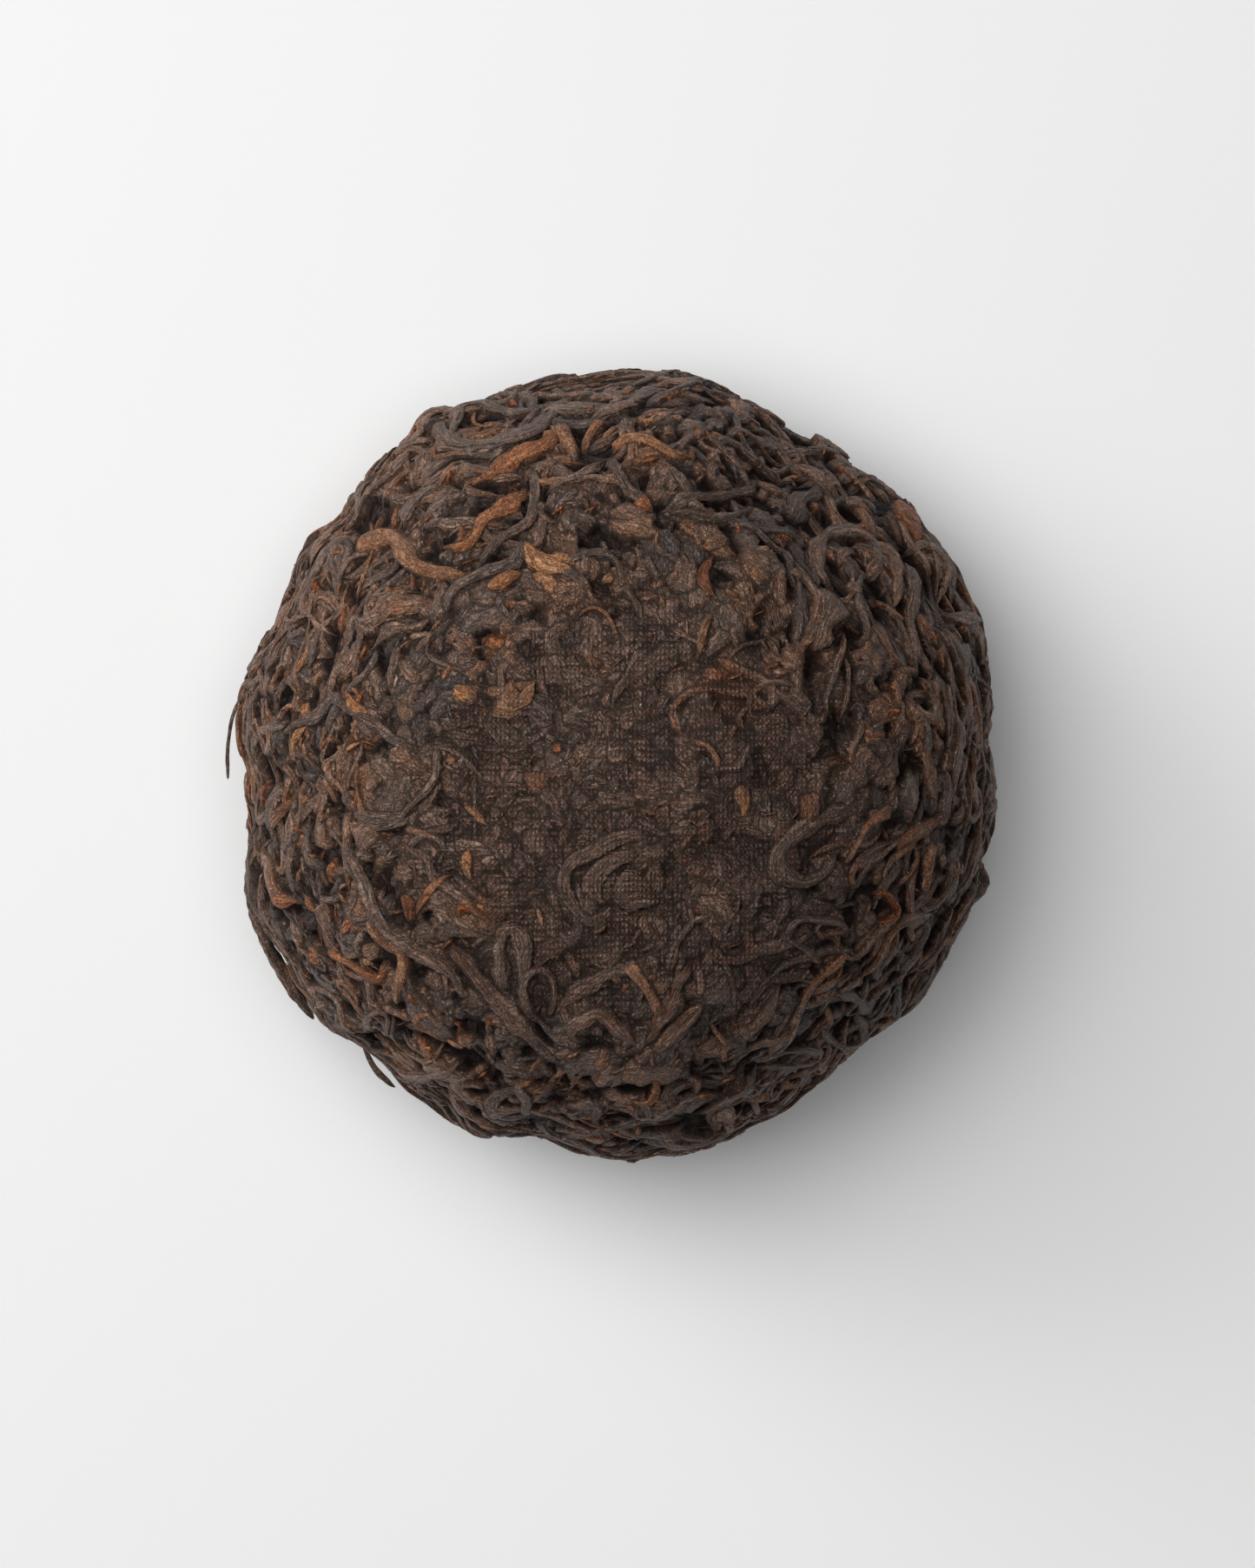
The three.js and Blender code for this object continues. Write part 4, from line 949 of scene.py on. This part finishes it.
def shelves(sizes):
    """Packs rectangles on shelves, tallest first; gives their corners and the side of the square."""
    order = sorted(range(len(sizes)), key=lambda i: -sizes[i][1])
    width = max(math.sqrt(sum(s[0] * s[1] for s in sizes)) * SHELF_SLACK, max(s[0] for s in sizes))
    corners = [None] * len(sizes)
    x, y, shelf = 0.0, 0.0, 0.0
    for i in order:
        if x + sizes[i][0] > width:
            x, y, shelf = 0.0, y + shelf, 0.0
        corners[i] = np.array([x, y])
        x += sizes[i][0]
        shelf = max(shelf, sizes[i][1])
    return corners, max(width, y + shelf)


def add_leaf(mesh, leaf, cloth):
    """Adds the stretch of a leaf that shows, if any does."""
    stretch = leaf.shown()
    if stretch is None:
        return
    first, last = stretch
    pick = np.unique(np.linspace(first, last - 1, max(4, int((last - first) / ROW_STEPS))).astype(int))
    chart, height = leaf.surface(leaf.side.across(leaf.path))
    lifted, depth, flat = press(leaf.side, cloth, chart[pick], height[pick], leaf.proud)
    grain = leaf.grain(leaf.kind.points + 1)[pick]
    points = leaf.side.place(chart[pick], lifted)
    redder, painted_darkness = stains_and_painted_light_at(leaf.side, chart[pick])
    # the tone takes rust and painted light on the lit side; the painted shade of the sides joins that of the
    # gaps
    mesh.add(points, leaf.tone[pick][:, None] + redder, depth + painted_darkness, flat, grain - grain[0, 0], grain)


def add_loose(mesh, kind, width, tone, route):
    """Adds a leaf that stands off the outline."""
    points = np.array(route)
    run = np.concatenate([[0], np.cumsum(np.linalg.norm(np.diff(points, axis=0), axis=1))])
    even = np.arange(0, run[-1], STEP)
    smooth = np.stack([ease(np.interp(even, run, points[:, i]), 1.2) for i in range(3)], -1)
    leaf = Leaf(OUTSIDE, smooth[:, :2], width, kind, (tone, tone))
    tangent = np.gradient(smooth, axis=0)
    tangent /= np.linalg.norm(tangent, axis=1, keepdims=True)
    out = smooth * [1, 1, 0]
    out /= np.linalg.norm(out, axis=1, keepdims=True)
    left = np.cross(tangent, out)
    rows = (smooth[:, None]
            + left[:, None] * (0.5 * leaf.width[:, None] * leaf.sideways)[..., None]
            + out[:, None] * (0.5 * leaf.thickness[:, None] * leaf.upward)[..., None])
    grain = leaf.grain(kind.points + 1)
    mesh.add(rows, leaf.tone[:, None], 0.0, 0.0, grain - grain[0, 0], grain)


def piece_of(leaf):
    """The piece that a leaf belongs to."""
    if leaf.kind in COLOURED_PIECES:
        return COLOURED_PIECES[leaf.kind]
    if leaf.side is UNDERSIDE:
        return "underside_leaves"
    return next(piece for piece, outer in LEAF_PIECES.items() if middle_distance(leaf.path) < outer)


def disc_grid(count, reach):
    """A square grid of places bent round to fill a disc with even cells."""
    line = np.linspace(-1, 1, count)
    x, y = np.meshgrid(line, line, indexing="ij")
    radius = np.maximum(np.abs(x), np.abs(y))
    wide = np.abs(x) > np.abs(y)
    turn = np.where(wide, y, x) / np.maximum(radius, 1e-9) * math.pi / 4
    turned = np.stack([np.where(wide, np.sign(x) * np.cos(turn), np.sin(turn)),
                       np.where(wide, np.sin(turn), np.sign(y) * np.cos(turn))], -1)
    return turned * (reach * radius)[..., None]


def ring_grid(inner, outer, rows, sectors):
    """Places on rings round the pole; the last column meets the first."""
    distance = np.linspace(inner, outer, rows)[:, None]
    angle = np.linspace(0, 2 * math.pi, sectors + 1)
    return np.stack([distance * np.cos(angle), distance * np.sin(angle)], -1)


def build_skin(name, side, cloth, chart, material):
    """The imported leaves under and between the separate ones, as one pressed surface."""
    if side.outward > 0:
        chart = chart[::-1]
    at = side.index(chart)
    tone, along, around, _ = np.moveaxis(side.marks[at[..., 0], at[..., 1]], -1, 0)
    redder, painted_darkness = stains_and_painted_light_at(side, chart)
    tone = tone + CROWN_EVENNESS * flatness_at(side, chart) * (CROWN_TONE - tone) + redder
    height = side.read(side.height - side.marks[..., 3], chart)
    lifted, depth, flat = press(side, cloth, chart, height, 0.0)
    rows, cols = chart.shape[:2]
    layout = np.stack(np.meshgrid(np.arange(rows), np.arange(cols), indexing="ij"), -1) * SKIN_CELL
    mesh = JoinedMesh(name)
    # the painted shade of the sides joins that of the gaps
    mesh.add(side.place(chart, lifted), tone, depth + painted_darkness, flat, layout, np.stack([along, around], -1))
    return mesh.build(material, "dark_leaf")


def build_skins(cloths, material):
    """The pressed skin: crown, shoulder and flank, and the hollow that meets the flank on the ring."""
    # each grid laps a little over the one inside it
    grids = {
        "pressed_crown": (OUTSIDE, disc_grid(250, 27.2)),
        "pressed_shoulder": (OUTSIDE, ring_grid(27.0, 47.2, 74, 800)),
        "pressed_flank": (OUTSIDE, ring_grid(47.0, OUTSIDE_REACH, 82, 540)),
        "pressed_hollow": (UNDERSIDE, disc_grid(176, 37.5)),
    }
    for name, (side, chart) in grids.items():
        skin = build_skin(name, side, cloths[side], chart, material)
    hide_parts(NODE)


# Finishes

def linear(code):
    """An sRGB hex colour as the linear values that a shader takes."""
    parts = [int(code[i : i + 2], 16) / 255 for i in (1, 3, 5)]
    return (*[p / 12.92 if p <= 0.04045 else ((p + 0.055) / 1.055) ** 2.4 for p in parts], 1.0)


def add_node(tree, kind, links=(), stops=(), out=0, **settings):
    """Adds a node with sockets fed by outputs or constants, and a ramp's colour stops; gives one output."""
    node = tree.nodes.new("ShaderNode" + kind)
    for name, value in settings.items():
        setattr(node, name, value)
    for socket, source in dict(links).items():
        if isinstance(source, bpy.types.NodeSocket):
            tree.links.new(source, node.inputs[socket])
        else:
            node.inputs[socket].default_value = source
    for i, (place, code) in enumerate(stops):
        element = node.color_ramp.elements[i] if i < 2 else node.color_ramp.elements.new(place)
        element.position = place
        element.color = linear(code)
    return node.outputs[out] if node.outputs else None


def fold_lines(tree, noise, sharpness):
    """Fine lines where a noise crosses its middle: 0 on a line, 1 away from it."""
    middle = add_node(tree, "Math", {0: noise, 1: 0.5}, operation="SUBTRACT")
    away = add_node(tree, "Math", {0: middle}, operation="ABSOLUTE")
    return add_node(tree, "Math", {0: away, 1: sharpness}, operation="MULTIPLY", use_clamp=True)


def cloth_print(tree, place, patch, flat):
    """Where the cloth pressed hardest, in patches, and the pits that its threads left there."""
    threads = [
        add_node(tree, "TexWave", {"Vector": place, "Scale": WAVE_LENGTH / (pitch * MM), "Distortion": 5.0,
                                   "Detail": 0.0, "Detail Scale": 0.1}, bands_direction=way, out="Fac")
        for way, pitch in zip("XY", THREAD_PITCH)
    ]
    both = add_node(tree, "Math", {0: threads[0], 1: threads[1]}, operation="MULTIPLY")
    hard = add_node(tree, "MapRange", {"Value": patch, "From Min": 0.4, "From Max": 0.5})
    where = add_node(tree, "Math", {0: hard, 1: flat}, operation="MULTIPLY")
    holes = add_node(tree, "Math", {0: 1.0, 1: both}, operation="SUBTRACT")
    pit = add_node(tree, "Math", {0: holes, 1: where}, operation="MULTIPLY")
    return where, pit


def leaf_patterns(tree):
    """Every pattern that a leaf's colour and relief are made from, by name."""
    tone, depth, flat = (
        add_node(tree, "Attribute", attribute_name=mark, out="Fac")
        for mark in ("tone", "depth", "print")
    )
    grain = add_node(tree, "UVMap", uv_map="grain", out="UV")
    place = add_node(tree, "NewGeometry", out="Position")
    # grooves run along the leaf, about 0.4 mm apart and six times as long
    along = add_node(tree, "Mapping", {"Vector": grain, "Scale": CREASES})
    groove = add_node(tree, "TexNoise", {"Vector": along, "Scale": 1.0, "Detail": 3.0, "Roughness": 0.62,
                                         "Distortion": 0.7})
    # crumples run any way
    crumple = add_node(tree, "TexNoise", {"Vector": place, "Scale": 1 / (CRUMPLE * MM), "Detail": 5.0,
                                          "Roughness": 0.6, "Distortion": 0.5})
    dust = add_node(tree, "TexNoise", {"Vector": place, "Scale": 1 / (DUST * MM), "Detail": 2.0,
                                       "Roughness": 0.8})
    # patches dried darker or redder
    patch = add_node(tree, "TexNoise", {"Vector": place, "Scale": 1 / (PATCH * MM), "Detail": 4.0,
                                        "Roughness": 0.6})
    crease = fold_lines(tree, groove, sharpness=9.0)
    cracks = fold_lines(tree, crumple, sharpness=10.0)
    where, pit = cloth_print(tree, place, patch, flat)
    # cracks fade where the cloth printed
    share = add_node(tree, "Math", {0: where, 1: -0.5, 2: 0.85}, operation="MULTIPLY_ADD")
    crack = add_node(tree, "Mix", {0: share, 2: 1.0, 3: cracks})
    return {"tone": tone, "depth": depth, "place": place, "groove": groove, "crumple": crumple, "dust": dust,
            "patch": patch, "crease": crease, "crack": crack, "where": where, "pit": pit}


def leaf_colour(tree, patterns, stops):
    """A leaf's own tone, darkened by painted shade along its crease lines, cracks, gaps and pits, and by its
    dust.
    """
    level = patterns["tone"]
    for pattern, share in TONES.items():
        level = add_node(tree, "Math", {0: patterns[pattern], 1: share, 2: level}, operation="MULTIPLY_ADD")
    level = add_node(tree, "Math", {0: level, 1: sum(TONES.values()) / 2}, operation="SUBTRACT")
    colour = add_node(tree, "ValToRGB", {"Fac": level}, stops)
    # the cloth leaves a dark, even patina
    evened = add_node(tree, "Math", {0: patterns["where"], 1: PATINA_SHARE}, operation="MULTIPLY")
    colour = add_node(tree, "Mix", {0: evened, 6: colour, 7: linear(PATINA)}, data_type="RGBA", out=2)
    for pattern, shade_stops in DUST_AND_PAINTED_SHADES.items():
        shade = add_node(tree, "ValToRGB", {"Fac": patterns[pattern]}, shade_stops)
        colour = add_node(tree, "Mix", {0: 1.0, 6: colour, 7: shade}, data_type="RGBA",
                          blend_type="MULTIPLY", out=2)
    return colour


def add_flecks_and_glints(tree, place, colour):
    """Flecks of rust where the tip of a bud was pressed in, and a few pale specks that are painted glints.
    """
    fleck = add_node(tree, "TexNoise", {"Vector": place, "Scale": 1 / (FLECK * MM), "Detail": 2.0,
                                        "Roughness": 0.7})
    is_fleck = add_node(tree, "MapRange", {"Value": fleck, "From Min": 0.56, "From Max": 0.66,
                                           "To Max": RUST_SHARE})
    rusty = add_node(tree, "Mix", {0: 1.0, 6: colour, 7: linear(RUST)}, data_type="RGBA",
                     blend_type="MULTIPLY", out=2)
    colour = add_node(tree, "Mix", {0: is_fleck, 6: colour, 7: rusty}, data_type="RGBA", out=2)
    glint_spot = add_node(tree, "TexVoronoi", {"Vector": place, "Scale": 1 / (GLINT_PITCH * MM)}, out="Distance")
    is_painted_glint = add_node(tree, "Math", {0: glint_spot, 1: GLINT_RADIUS}, operation="LESS_THAN")
    return add_node(tree, "Mix", {0: is_painted_glint, 6: colour, 7: linear(PAINTED_GLINT)}, data_type="RGBA", out=2)


def leaf_finish(name, stops, roughness, crease_relief):
    """Dried leaf: a tone from its place in the ramp, creases, dust, flecks, painted glints and the cloth's
    print, with painted shade in its creases, cracks, gaps and pits.
    """
    material = bpy.data.materials.new(name)
    material.use_nodes = True
    tree = material.node_tree
    tree.nodes.clear()
    patterns = leaf_patterns(tree)
    colour = add_flecks_and_glints(tree, patterns["place"], leaf_colour(tree, patterns, stops))
    relief = 0.0
    for pattern, size in {"crease": crease_relief, **RELIEF}.items():
        relief = add_node(tree, "Math", {0: patterns[pattern], 1: size, 2: relief}, operation="MULTIPLY_ADD")
    bump = add_node(tree, "Bump", {"Height": relief, "Distance": MM})
    shader = add_node(tree, "BsdfPrincipled", {"Base Color": colour, "Normal": bump, "Roughness": roughness,
                                               "IOR": 1.45, "Specular IOR Level": 0.5})
    add_node(tree, "OutputMaterial", {"Surface": shader})
    return material


def fermented_leaf():
    """Ripe leaf, rolled and dried: almost black to brown, with a dry greyish sheen on its ridges."""
    stops = ((0.0, "#736765"), (0.25, "#957e70"), (0.5, "#b49079"), (0.75, "#c08a62"), (1.0, "#c97a40"))
    return leaf_finish("fermented_leaf", stops, 0.5, 0.2)


def golden_bud():
    """Young buds with down that ferments to rust and gold."""
    stops = ((0.0, "#b26a43"), (0.35, "#c78557"), (0.7, "#dca06c"), (1.0, "#e4b589"))
    return leaf_finish("golden_bud", stops, 0.75, 0.12)


def dried_stalk():
    """Stalks, smoother and paler than the leaf."""
    stops = ((0.0, "#a07a66"), (0.3, "#b58766"), (0.7, "#c0865b"), (1.0, "#d29d70"))
    return leaf_finish("dried_stalk", stops, 0.65, 0.07)


# Studio

def add_light(name, place, size, power):
    """A round soft light that faces the nest."""
    light = bpy.data.lights.new(name, "AREA")
    light.shape = "DISK"
    light.size = size
    light.energy = power
    lamp = bpy.data.objects.new(name, light)
    lamp.location = place
    lamp.rotation_euler = Vector(place).to_track_quat("Z", "Y").to_euler()
    bpy.context.scene.collection.objects.link(lamp)


def build_floor():
    """Pale paper that the nest stands on."""
    floor = bpy.data.meshes.new("floor")
    corners = [(x * FLOOR_HALF, y * FLOOR_HALF, 0) for x, y in ((-1, -1), (1, -1), (1, 1), (-1, 1))]
    floor.from_pydata(corners, [], [(0, 1, 2, 3)])
    piece = bpy.data.objects.new("floor", floor)
    bpy.context.scene.collection.objects.link(piece)
    paper = bpy.data.materials.new("pale_paper")
    paper.use_nodes = True
    shader = paper.node_tree.nodes["Principled BSDF"]
    shader.inputs["Base Color"].default_value = linear("#f4f4f4")
    shader.inputs["Roughness"].default_value = 0.9
    floor.materials.append(paper)


def build_studio():
    """Two soft windows on the left, a soft lamp overhead, and a white room that adds a little light."""
    world = bpy.data.worlds.new("room")
    world.use_nodes = True
    background = world.node_tree.nodes["Background"]
    background.inputs["Color"].default_value = linear("#ffffff")
    background.inputs["Strength"].default_value = ROOM_LIGHT
    bpy.context.scene.world = world
    for name, (place, size, power) in LAMPS.items():
        add_light(name, place, size, power)
    bpy.context.scene.view_settings.view_transform = "Standard"


def build_camera():
    """Straight down on the nest, as far off as keeps the photograph's proportions."""
    camera = bpy.data.cameras.new("camera")
    camera.sensor_fit = "HORIZONTAL"
    camera.sensor_width = SENSOR_WIDTH
    camera.lens = SENSOR_WIDTH * CAMERA_RISE / (PHOTO_SIZE[0] * PIXEL)
    camera.clip_start = 0.01
    holder = bpy.data.objects.new("camera", camera)
    holder.location = (CAMERA_AT[0] * MM, CAMERA_AT[1] * MM, (WIDEST_Z + CAMERA_RISE) * MM)
    bpy.context.scene.collection.objects.link(holder)
    bpy.context.scene.camera = holder


def build_nest():
    """Every leaf laid, pressed and made into the piece that it belongs to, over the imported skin."""
    leaves = lay_all()
    cloths = {side: gauss_blur(side.height, SMOOTH / CELL) for side in (OUTSIDE, UNDERSIDE)}
    meshes = {}
    for leaf in leaves:
        name = piece_of(leaf)
        meshes.setdefault(name, JoinedMesh(name))
        add_leaf(meshes[name], leaf, cloths[leaf.side])
    for kind, width, tone, *route in LOOSE.values():
        add_loose(meshes["flank_leaves"], kind, width, tone, route)
    dark = fermented_leaf()
    finishes = {"golden_buds": golden_bud(), "stalks": dried_stalk()}
    for name, mesh in meshes.items():
        mesh.build(finishes.get(name, dark), "golden_leaf" if name in finishes else "dark_leaf")
    build_skins(cloths, dark)


build_nest()
build_floor()
build_studio()
build_camera()
